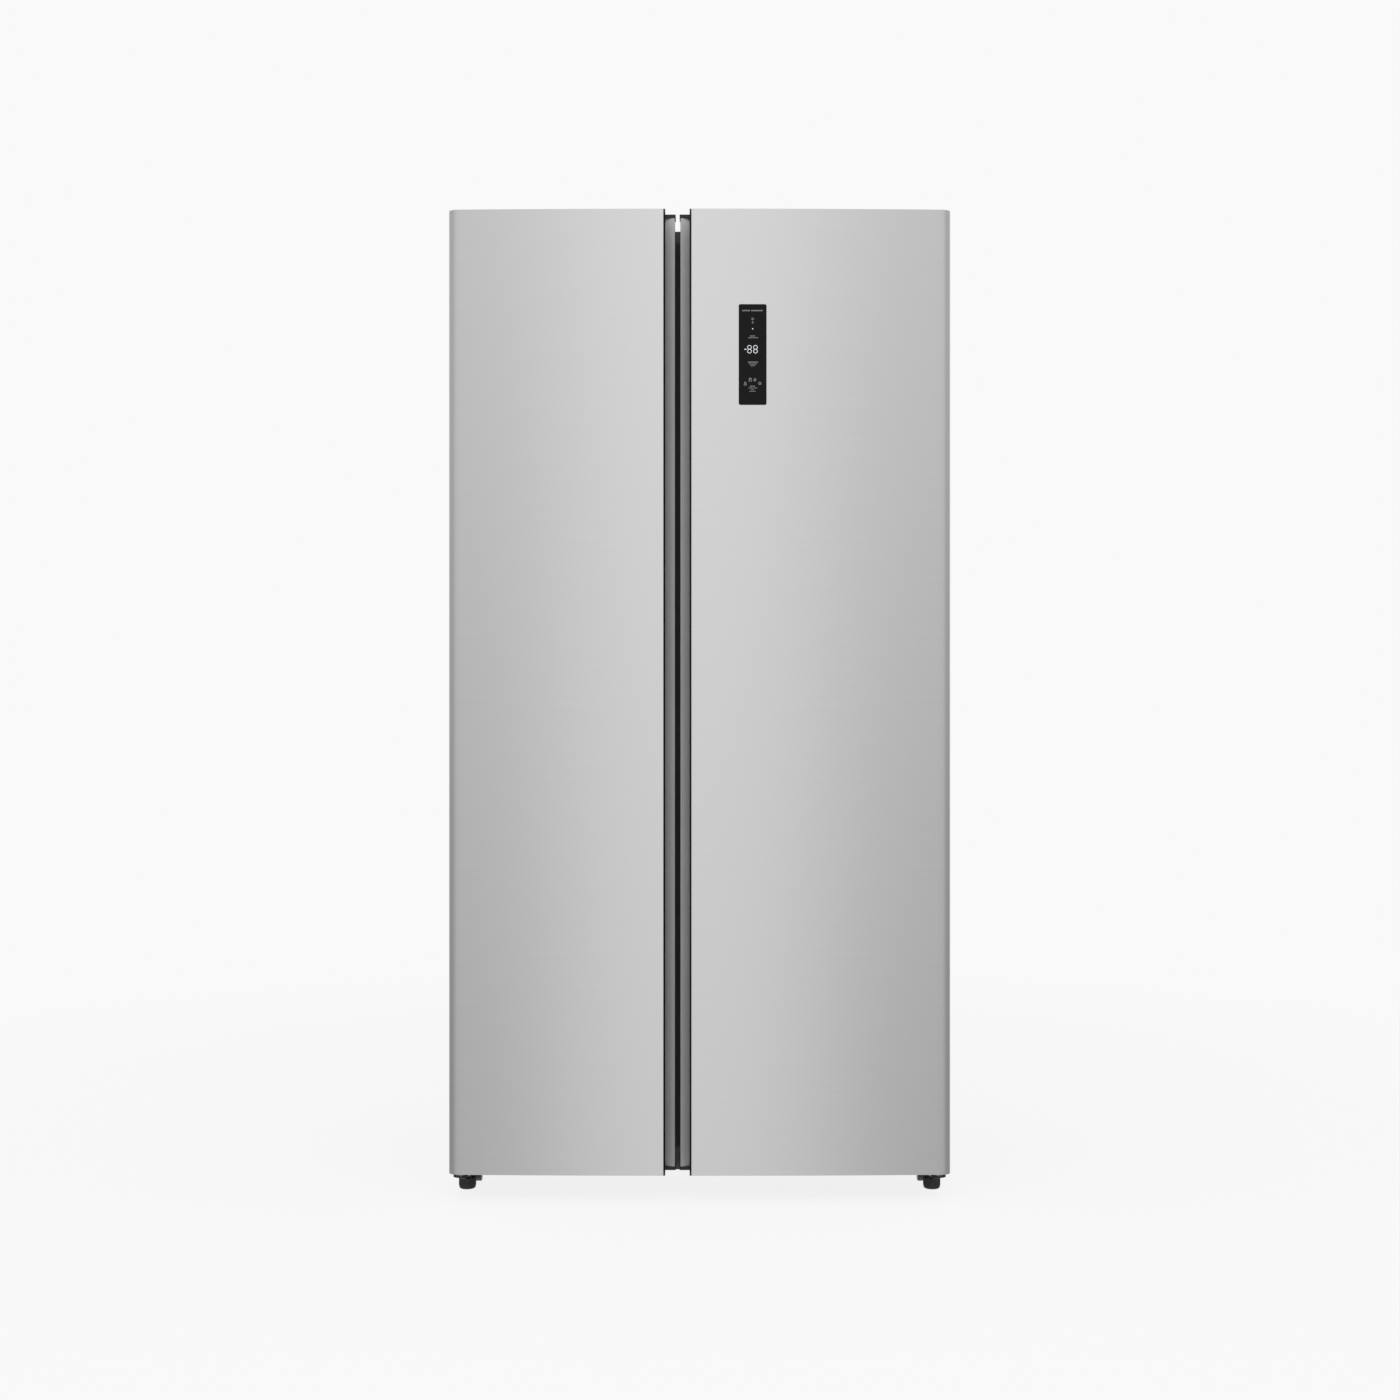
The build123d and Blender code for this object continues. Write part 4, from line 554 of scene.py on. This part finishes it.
# Marks on the control panel, in mm right and down from its upper left corner
# Lines of small print, drawn as plain ticks: left, top, width and height
PRINT_LINES = ((6.1, 10.3, 14.4, 2.2), (22.3, 10.3, 20.9, 2.2), (20.5, 56.3, 9.0, 1.7),
               (16.9, 59.6, 18.0, 1.4), (16.7, 103.2, 18.0, 1.9), (18.7, 106.8, 14.4, 1.5),
               (21.4, 110.0, 8.0, 1.4), (20.5, 146.6, 9.0, 1.6), (17.5, 150.0, 16.2, 1.3),
               (21.9, 153.0, 6.0, 1.3), (19.6, 156.0, 10.8, 1.3))
TICK_PITCH = 1.7
TICK_FILL = 0.68
# Symbols of straight strokes: the middle, then each stroke's two ends from there and its width
STROKES = (((24.9, 33.0), ((0, -1.8, 0, 1.6, 1.6), (-1.8, 0, 1.8, 0, 0.9))),
           ((11.6, 142.3), ((-2.4, 3.0, 0, -3.4, 1.0), (2.4, 3.0, 0, -3.4, 1.0), (-2.4, 3.0, 2.4, 3.0, 1.0))),
           ((20.6, 136.0), ((-1.8, -3.4, -1.8, 3.4, 1.2), (1.8, -3.4, 1.8, 3.4, 1.2),
                            (-1.8, -2.4, 1.8, -2.4, 2.0))))
STAR_AT, STAR_REACH, STAR_STROKE = (28.9, 136.0), (3.0, 3.4), 0.9
HOOPS = ((24.9, 26.4, 2.2, 0.9), (37.8, 142.3, 2.6, 1.1))  # middle, radius and width
# Lit marks: the number with its minus sign, and a dot
DIGITS_AT = (19.2, 29.9)
DIGITS_DOWN = 81.0
DIGIT_RING = 4.0
MINUS_AT = (10.1, 13.7)
DOT = (24.9, 44.2, 1.1)
LIT_STRENGTH = 0.3


def tick_line(left, top, width, height):
    """Row of upright ticks that reads as small print."""
    count = round(width / TICK_PITCH)
    step = width / count
    rows = [(left + i * step, left + (i + TICK_FILL) * step) for i in range(count)]
    return [[(x0, top), (x1, top), (x1, top + height), (x0, top + height)] for x0, x1 in rows]


def bar(x0, z0, x1, z1, width):
    """Straight stroke."""
    along = Vector((x1 - x0, z1 - z0)).normalized()
    out = Vector((-along.y, along.x)) * width / 2
    return [(x0 + out.x, z0 + out.y), (x0 - out.x, z0 - out.y), (x1 - out.x, z1 - out.y),
            (x1 + out.x, z1 + out.y)]


def hoop(x, z, radius, width, steps=24):
    """Round stroke, as a ring of short faces."""
    outside, inside = (arc(x, z, r, 0, math.tau, steps) for r in (radius, radius - width))
    return [[outside[i], outside[i + 1], inside[i + 1], inside[i]] for i in range(steps)]


class REFRIGERATOR_OT_control_marks(bpy.types.Operator):
    """Printed marks and lit digits on the control panel"""

    bl_idname = "refrigerator.control_marks"
    bl_label = "Control panel marks"

    def execute(self, context):
        panel = context.scene.fridge_panel
        # Screen-printed ink, mid grey and even.
        ink = grained("screen_ink_grey", panel.ink, 0.6, 2.0, 0.002, tint=0.04)
        # Diffused segments of the display, lit from behind.
        lit = grained("lit_segment_white", panel.lit, 0.6, 2.0, 0.002, tint=0.04)
        shader = lit.node_tree.nodes["Principled BSDF"]
        shader.inputs["Emission Color"].default_value = linear(panel.lit)
        shader.inputs["Emission Strength"].default_value = LIT_STRENGTH
        self.flat("control_print", self.print_faces(), ink)
        self.flat("control_digits", self.digit_faces(panel.stroke / MM), lit)
        return {"FINISHED"}

    def print_faces(self):
        faces = [tick for line in PRINT_LINES for tick in tick_line(*line)]
        for (x, z), strokes in STROKES:
            faces += [bar(x + x0, z + z0, x + x1, z + z1, width) for x0, z0, x1, z1, width in strokes]
        x, z = STAR_AT
        for k in range(3):
            turn = math.pi * (k / 3 + 1 / 6)
            across, down = STAR_REACH[0] * math.cos(turn), STAR_REACH[1] * math.sin(turn)
            faces.append(bar(x - across, z - down, x + across, z + down, STAR_STROKE))
        return faces + [face for ring in HOOPS for face in hoop(*ring)]

    def digit_faces(self, width):
        faces = [bar(MINUS_AT[0], DIGITS_DOWN, MINUS_AT[1], DIGITS_DOWN, width * 1.4)]
        for x in DIGITS_AT:
            for side in (-1, 1):
                faces += hoop(x, DIGITS_DOWN + side * (DIGIT_RING - width / 2), DIGIT_RING, width)
        faces.append(arc(*DOT, 0, math.tau, 16)[:-1])
        return faces

    def flat(self, name, faces, material):
        """Thin flat marks just over the glass, from faces in mm right and down from the panel's corner."""
        lift = bpy.context.scene.fridge_panel.lift
        low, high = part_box("control_panel_glass")
        bm = bmesh.new()
        for face in faces:
            bm.faces.new([bm.verts.new((low.x + x * MM, low.y - lift, high.z - z * MM)) for x, z in face])
        bm.normal_update()
        bmesh.ops.reverse_faces(bm, faces=[f for f in bm.faces if f.normal.y > 0])
        bmesh.ops.remove_doubles(bm, verts=bm.verts, dist=0.01 * MM)
        mesh = bpy.data.meshes.new(name)
        bm.to_mesh(mesh)
        bm.free()
        piece(name, mesh, material, "fridge_door", "panel_glass")


# Section of the door seal: inwards from its outer edge and out from the door, in mm
SEAL_SECTION = ((3, 0), (19, 0), (19, 1.2), (15.6, 2.0), (18.6, 3.4), (18.6, 4.1), (16, 4.8), (17, 5.5),
                (17, 8.1), (16.4, 8.7), (6, 8.7), (5.4, 8.1), (5.4, 5.5), (3.6, 4.8), (1.2, 4.4), (0, 3.2),
                (0.5, 2.9), (3.6, 3.5), (4.2, 2.0), (3, 1.2))


class REFRIGERATOR_OT_door_seals(bpy.types.Operator):
    """Bellows seals round the inside of each door"""

    bl_idname = "refrigerator.door_seals"
    bl_label = "Door seals"

    def execute(self, context):
        for half, _ in HALVES:
            low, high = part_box(f"{half}_door_gasket")
            bm = bmesh.new()
            loops = []
            for inset, out in SEAL_SECTION:
                d, y = inset * MM, low.y + out * MM
                spots = ((low.x + d, low.z + d), (high.x - d, low.z + d), (high.x - d, high.z - d),
                         (low.x + d, high.z - d))
                loops.append([bm.verts.new((x, y, z)) for x, z in spots])
            for one, two in zip(loops, loops[1:] + loops[:1]):
                for k in range(4):
                    bm.faces.new((one[k], one[(k + 1) % 4], two[(k + 1) % 4], two[k]))
            piece(f"{half}_door_seal", to_mesh(f"{half}_door_seal", bm), FINISH["gasket"], f"{half}_door",
                  "gasket", f"{half}_door_gasket")
        return {"FINISHED"}


# Geometry nodes

HOOD_TILT = math.radians(-38)
LOUVRE_FOOT = 60 * MM  # the lowest row over the cover's foot
HOOD_OUT, HOOD_UP = 2.2 * MM, 5.5 * MM  # a hood's middle behind the cover and over its slot
RIB_RADIUS, RIB_SINK = 0.8 * MM, 0.2 * MM
RIB_HEIGHT, RIB_MIDDLE = 13 * MM, 12.5 * MM
BIN_CORNER = 14 * MM


def grown(name, build, sizes, material, body, slot):
    """Piece made by a node tree: its named inputs are set, and the result becomes a plain mesh."""
    tree = bpy.data.node_groups.new(name, "GeometryNodeTree")
    tree.interface.new_socket("Geometry", in_out="OUTPUT", socket_type="NodeSocketGeometry")
    sockets = {}
    for label, value in sizes.items():
        kind = {int: "NodeSocketInt", float: "NodeSocketFloat"}.get(type(value), "NodeSocketVector")
        sockets[label] = tree.interface.new_socket(label, in_out="INPUT", socket_type=kind).identifier
    source = node(tree, "NodeGroupInput")
    shape = build(tree, source.outputs)
    real = node(tree, "GeometryNodeRealizeInstances", None, {0: shape})
    done = node(tree, "GeometryNodeSetMaterial", {"Material": material}, {"Geometry": real.outputs[0]})
    node(tree, "NodeGroupOutput", None, {0: done.outputs[0]})
    holder = bpy.data.objects.new(name + "_maker", bpy.data.meshes.new(name + "_maker"))
    bpy.context.scene.collection.objects.link(holder)
    maker = holder.modifiers.new("maker", "NODES")
    maker.node_group = tree
    for label, value in sizes.items():
        maker[sockets[label]] = value
    bpy.context.view_layer.update()
    mesh = bpy.data.meshes.new_from_object(holder.evaluated_get(bpy.context.evaluated_depsgraph_get()))
    mesh.name = name
    bpy.data.objects.remove(holder)
    if not mesh.polygons:
        raise RuntimeError(f"{name} came out empty")
    return piece(name, mesh, material, body, slot)


def hood_tree(tree, sizes):
    """Slanted hoods in rows and columns, one over each slot of the machine room's cover."""
    grid = node(tree, "GeometryNodeMeshGrid", None,
                {"Size X": sizes["Width"], "Size Y": sizes["Rise"], "Vertices X": sizes["Columns"],
                 "Vertices Y": sizes["Rows"]})
    stood = node(tree, "GeometryNodeTransform", {"Rotation": (math.pi / 2, 0, 0)},
                 {"Geometry": grid.outputs[0], "Translation": sizes["Middle"]})
    plate = node(tree, "GeometryNodeMeshCube", None, {"Size": sizes["Hood"]})
    tilted = node(tree, "GeometryNodeTransform", {"Rotation": (HOOD_TILT, 0, 0)},
                  {"Geometry": plate.outputs[0]})
    many = node(tree, "GeometryNodeInstanceOnPoints", None,
                {"Points": stood.outputs[0], "Instance": tilted.outputs[0]})
    return many.outputs[0]


def rib_tree(tree, sizes):
    """Upright grip ribs round a foot."""
    ring = node(tree, "GeometryNodeMeshCircle", None, {"Vertices": sizes["Count"], "Radius": sizes["Radius"]})
    spot = node(tree, "GeometryNodeInputPosition").outputs[0]
    turn = node(tree, "FunctionNodeAlignRotationToVector", None, {"Vector": spot}, axis="X")
    rib = node(tree, "GeometryNodeMeshCylinder", {"Vertices": 6},
               {"Radius": sizes["Rib"], "Depth": sizes["Height"]})
    many = node(tree, "GeometryNodeInstanceOnPoints", None,
                {"Points": ring.outputs[0], "Instance": rib.outputs[0], "Rotation": turn.outputs[0]})
    return node(tree, "GeometryNodeTransform", None,
                {"Geometry": many.outputs[0], "Translation": sizes["Middle"]}).outputs[0]


def rim_tree(tree, sizes):
    """Beads round the top edges of bins that stand above each other."""
    outline = node(tree, "GeometryNodeCurvePrimitiveQuadrilateral", None,
                   {"Width": sizes["Width"], "Height": sizes["Depth"]})
    smooth = node(tree, "GeometryNodeFilletCurve", {"Count": 8},
                  {"Curve": outline.outputs[0], "Radius": sizes["Corner"]}, mode="POLY")
    ring = node(tree, "GeometryNodeCurvePrimitiveCircle", {"Resolution": 10}, {"Radius": sizes["Bead"]})
    bead = node(tree, "GeometryNodeCurveToMesh", None,
                {"Curve": smooth.outputs[0], "Profile Curve": ring.outputs[0]})
    rows = node(tree, "GeometryNodeMeshLine", None,
                {"Count": sizes["Count"], "Start Location": sizes["Start"], "Offset": sizes["Pitch"]})
    many = node(tree, "GeometryNodeInstanceOnPoints", None,
                {"Points": rows.outputs[0], "Instance": bead.outputs[0]})
    return many.outputs[0]


class REFRIGERATOR_OT_bin_rims(bpy.types.Operator):
    """Rolled rims of the door bins"""

    bl_idname = "refrigerator.bin_rims"
    bl_label = "Bin rims"

    def execute(self, context):
        cabinet = context.scene.fridge_cabinet
        inset = cabinet.bin_wall / 2
        for half, _ in HALVES:
            low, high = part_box(f"{half}_door_bins")
            pitch = (high.z - low.z - cabinet.bin_height) / (cabinet.bin_count - 1)
            start = ((low.x + high.x) / 2, (low.y + high.y) / 2, low.z + cabinet.bin_height - inset)
            grown(f"{half}_bin_rims", rim_tree,
                  {"Width": high.x - low.x - 2 * inset, "Depth": high.y - low.y - 2 * cabinet.rim,
                   "Corner": BIN_CORNER - inset, "Bead": cabinet.rim, "Count": cabinet.bin_count,
                   "Start": start, "Pitch": (0.0, 0.0, pitch)},
                  FINISH["clear_plastic"], f"{half}_door", "clear_plastic")
        return {"FINISHED"}


class REFRIGERATOR_OT_cabinet_details(bpy.types.Operator):
    """Hoods of the machine room cover and ribs of the feet"""

    bl_idname = "refrigerator.cabinet_details"
    bl_label = "Cabinet details"

    def execute(self, context):
        cabinet = context.scene.fridge_cabinet
        low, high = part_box("machine_cover")
        across, up = cabinet.louvre_pitch
        rise = (cabinet.louvre_rows - 1) * up
        middle = (0.0, high.y + HOOD_OUT, low.z + LOUVRE_FOOT + rise / 2 + HOOD_UP)
        grown("louvre_hoods", hood_tree,
              {"Columns": cabinet.louvre_columns, "Rows": cabinet.louvre_rows,
               "Width": (cabinet.louvre_columns - 1) * across, "Rise": rise, "Middle": middle,
               "Hood": (cabinet.louvre_size[0], cabinet.louvre_size[2], cabinet.louvre_size[1])},
              FINISH["galvanised"], "cabinet", "galvanised")
        for side in ("left", "right"):
            low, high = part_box(f"foot_{side}")
            radius = (high.x - low.x) / 2
            grown(f"foot_{side}_ribs", rib_tree,
                  {"Count": cabinet.foot_ribs, "Radius": radius - RIB_SINK, "Rib": RIB_RADIUS,
                   "Height": RIB_HEIGHT,
                   "Middle": ((low.x + high.x) / 2, (low.y + high.y) / 2, RIB_MIDDLE)},
                  FINISH["foot_plastic"], f"foot_{side}", "foot_plastic")
        return {"FINISHED"}


# Nodes whose finish differs from the rest of their slot
OWN_FINISH = {"mullion_strip": "mullion_film"}


class REFRIGERATOR_OT_cad_finishes(bpy.types.Operator):
    """Materials of the CAD nodes that show as they are"""

    bl_idname = "refrigerator.cad_finishes"
    bl_label = "Finishes of the frame"

    def execute(self, context):
        for part in frame["record"]["subparts"]:
            shown = frame["nodes"][part["node"]]
            shown.data.materials.clear()
            shown.data.materials.append(FINISH[OWN_FINISH.get(part["node"], part["material_slot"])])
        return {"FINISHED"}


# Places and sizes in the studio, in metres
FLOOR_REACH = 40.0
PAPER_GREY = "D8D8D8"
BACKDROP_Y, BACKDROP_HALF = -7.0, 6.0
BACKDROP_FADE, BACKDROP_SPARE = (-4.0, 6.0), 4.0  # heights between which it brightens, and more past them
FLAG_X, FLAG_Y, FLAG_Z = 3.0, (-4.5, 2.5), (-4.0, 6.0)
FLAG_FADE, FLAG_LIFT_END = (0.0, 1.8), -1.0  # heights between which they brighten, and where their lift ends
LAMP_AT, LAMP_TURN, LAMP_SIZE = (0.0, -3.2, 4.2), (48, 0, 0), (5.0, 2.0)


class REFRIGERATOR_OT_stage(bpy.types.Operator):
    """Pale floor, even studio light and the camera"""

    bl_idname = "refrigerator.stage"
    bl_label = "Stage"

    def execute(self, context):
        scene, stage = context.scene, context.scene.fridge_stage
        scene.view_settings.view_transform = "Standard"
        self.background(scene, stage)
        self.floor(stage)
        self.backdrop(stage)
        self.flags(stage)
        self.lamp(stage)
        camera = bpy.data.objects.new("camera", bpy.data.cameras.new("camera"))
        scene.collection.objects.link(camera)
        camera.data.lens = stage.lens
        camera.location = (stage.aside, FRONT - stage.distance, stage.height)
        camera.rotation_euler = (math.pi / 2, 0.0, 0.0)
        scene.camera = camera
        return {"FINISHED"}

    def seen(self, tree):
        """1 for rays that show the background: from the camera, in gloss and through glass."""
        path = node(tree, "ShaderNodeLightPath").outputs
        gloss = node(tree, "ShaderNodeMath", None, {0: path["Is Camera Ray"], 1: path["Is Glossy Ray"]},
                     operation="MAXIMUM")
        clear = node(tree, "ShaderNodeMath", None, {0: gloss.outputs[0], 1: path["Is Transmission Ray"]},
                     operation="MAXIMUM")
        return clear.outputs[0]

    def background(self, scene, stage):
        world = bpy.data.worlds.new("studio")
        world.use_nodes = True
        scene.world = world
        tree = world.node_tree
        tree.nodes.clear()
        pale = node(tree, "ShaderNodeBackground", {"Color": linear(stage.background), "Strength": 1.0})
        fill = node(tree, "ShaderNodeBackground", {"Color": (1, 1, 1, 1), "Strength": stage.fill})
        mix = node(tree, "ShaderNodeMixShader", None,
                   {0: self.seen(tree), 1: fill.outputs[0], 2: pale.outputs[0]})
        node(tree, "ShaderNodeOutputWorld", None, {0: mix.outputs[0]})

    def floor(self, stage):
        size = FLOOR_REACH
        mesh = bpy.data.meshes.new("floor")
        mesh.from_pydata([(-size, -size, 0), (size, -size, 0), (size, size, 0), (-size, size, 0)], [],
                         [(0, 1, 2, 3)])
        floor = bpy.data.objects.new("floor", mesh)
        bpy.context.scene.collection.objects.link(floor)
        paper = bpy.data.materials.new("studio_paper")
        paper.use_nodes = True
        tree = paper.node_tree
        tree.nodes.clear()
        matt = node(tree, "ShaderNodeBsdfDiffuse", {"Color": linear(PAPER_GREY)})
        shade = node(tree, "ShaderNodeBsdfDiffuse", {"Color": [stage.paper[1]] * 3 + [1.0]})
        pale = {"Color": linear(stage.background)}
        glow = node(tree, "ShaderNodeEmission", {**pale, "Strength": stage.paper[0]})
        both = node(tree, "ShaderNodeAddShader", None, {0: shade.outputs[0], 1: glow.outputs[0]})
        place = node(tree, "ShaderNodeTexCoord").outputs["Object"]
        away = node(tree, "ShaderNodeVectorMath", None, {0: place}, operation="LENGTH")
        near, gone = stage.paper_fade
        fade = node(tree, "ShaderNodeMapRange", {"From Min": near, "From Max": gone},
                    {"Value": away.outputs["Value"]}, interpolation_type="SMOOTHSTEP")
        far = node(tree, "ShaderNodeEmission", {**pale, "Strength": 1.0})
        plain = node(tree, "ShaderNodeMixShader", None,
                     {0: fade.outputs[0], 1: both.outputs[0], 2: far.outputs[0]})
        mix = node(tree, "ShaderNodeMixShader", None,
                   {0: self.seen(tree), 1: matt.outputs[0], 2: plain.outputs[0]})
        node(tree, "ShaderNodeOutputMaterial", None, {0: mix.outputs[0]})
        mesh.materials.append(paper)
        floor.visible_glossy = False

    def card(self, name, corners):
        """Studio card that shows only in gloss. Returns its node tree, its glow and the place on it."""
        mesh = bpy.data.meshes.new(name)
        mesh.from_pydata(corners, [], [(0, 1, 2, 3)])
        made = bpy.data.objects.new(name, mesh)
        bpy.context.scene.collection.objects.link(made)
        made.visible_camera = made.visible_diffuse = made.visible_shadow = made.visible_transmission = False
        look = bpy.data.materials.new(name)
        look.use_nodes = True
        look.cycles.emission_sampling = "NONE"
        tree = look.node_tree
        tree.nodes.clear()
        glow = node(tree, "ShaderNodeEmission")
        node(tree, "ShaderNodeOutputMaterial", None, {0: glow.outputs[0]})
        mesh.materials.append(look)
        place = node(tree, "ShaderNodeSeparateXYZ", None,
                     {0: node(tree, "ShaderNodeTexCoord").outputs["Object"]})
        return tree, glow, place.outputs

    def backdrop(self, stage):
        """Card behind the camera: a bright column that falls to the sides, and a level that rises."""
        foot, head = BACKDROP_FADE
        wide, y, low, high = BACKDROP_HALF, BACKDROP_Y, foot - BACKDROP_SPARE, head + BACKDROP_SPARE
        tree, glow, place = self.card("studio_backdrop", [(wide, y, low), (-wide, y, low), (-wide, y, high),
                                                          (wide, y, high)])
        across = node(tree, "ShaderNodeMath", {1: stage.column_aside}, {0: place["X"]}, operation="SUBTRACT")
        off = node(tree, "ShaderNodeMath", None, {0: across.outputs[0]}, operation="ABSOLUTE")
        ends = {"From Min": foot, "From Max": head}
        level, more = (node(tree, "ShaderNodeMapRange", {**ends, "To Min": least, "To Max": most},
                            {"Value": place["Z"]}) for least, most in (stage.sides, stage.rise))
        fall = {"From Min": stage.column[1], "From Max": stage.column[0]}
        share = node(tree, "ShaderNodeMapRange", fall, {"Value": off.outputs[0]},
                     interpolation_type="SMOOTHSTEP")
        total = node(tree, "ShaderNodeMath", None,
                     {0: share.outputs[0], 1: more.outputs[0], 2: level.outputs[0]}, operation="MULTIPLY_ADD")
        tree.links.new(total.outputs[0], glow.inputs["Strength"])

    def flags(self, stage):
        """Grey cards at both sides, which darken the doors' round corners."""
        (front, back), (foot, head) = FLAG_Y, FLAG_Z
        rise = {"From Min": FLAG_FADE[0], "From Max": FLAG_FADE[1], "To Min": stage.flag[0],
                "To Max": stage.flag[1]}
        fall = {"From Min": front, "From Max": FLAG_LIFT_END, "To Min": stage.flag_lift, "To Max": 1.0}
        for side in (-1, 1):
            x = side * FLAG_X
            tree, glow, place = self.card(f"side_flag_{side + 1}", [(x, front, foot), (x, back, foot),
                                                                    (x, back, head), (x, front, head)])
            level = node(tree, "ShaderNodeMapRange", rise, {"Value": place["Z"]})
            lift = node(tree, "ShaderNodeMapRange", fall, {"Value": place["Y"]})
            both = node(tree, "ShaderNodeMath", None, {0: level.outputs[0], 1: lift.outputs[0]},
                        operation="MULTIPLY")
            tree.links.new(both.outputs[0], glow.inputs["Strength"])

    def lamp(self, stage):
        """Wide soft lamp over the camera."""
        lamp = bpy.data.objects.new("top_lamp", bpy.data.lights.new("top_lamp", "AREA"))
        lamp.data.shape = "RECTANGLE"
        lamp.data.size, lamp.data.size_y = LAMP_SIZE
        lamp.data.energy = stage.top
        lamp.location = LAMP_AT
        lamp.rotation_euler = [math.radians(a) for a in LAMP_TURN]
        lamp.visible_glossy = False
        bpy.context.scene.collection.objects.link(lamp)


OPERATORS = (REFRIGERATOR_OT_cad_finishes, REFRIGERATOR_OT_steel_fronts, REFRIGERATOR_OT_grip_channels,
             REFRIGERATOR_OT_control_marks, REFRIGERATOR_OT_door_seals, REFRIGERATOR_OT_bin_rims,
             REFRIGERATOR_OT_cabinet_details, REFRIGERATOR_OT_stage)


class REFRIGERATOR_PT_panel(bpy.types.Panel):
    """Settings and steps of the refrigerator"""

    bl_idname = "REFRIGERATOR_PT_panel"
    bl_label = "Refrigerator"
    bl_space_type = "VIEW_3D"
    bl_region_type = "UI"
    bl_category = "Refrigerator"

    def draw(self, context):
        for name, group in GROUPS.items():
            box = self.layout.box()
            for prop in group.__annotations__:
                box.prop(getattr(context.scene, f"fridge_{name}"), prop)
        for step in OPERATORS:
            self.layout.operator(step.bl_idname)


CLASSES = (*GROUPS.values(), *OPERATORS, REFRIGERATOR_PT_panel)
FINISH = {}


def register():
    for cls in CLASSES:
        bpy.utils.register_class(cls)
    for name, group in GROUPS.items():
        setattr(bpy.types.Scene, f"fridge_{name}", PointerProperty(type=group))


def unregister():
    for name in GROUPS:
        delattr(bpy.types.Scene, f"fridge_{name}")
    for cls in reversed(CLASSES):
        bpy.utils.unregister_class(cls)


def main():
    register()
    FINISH.update(finishes(bpy.context.scene))
    for step in OPERATORS:
        group, name = step.bl_idname.split(".")
        getattr(getattr(bpy.ops, group), name)()


if __name__ == "__main__":
    main()
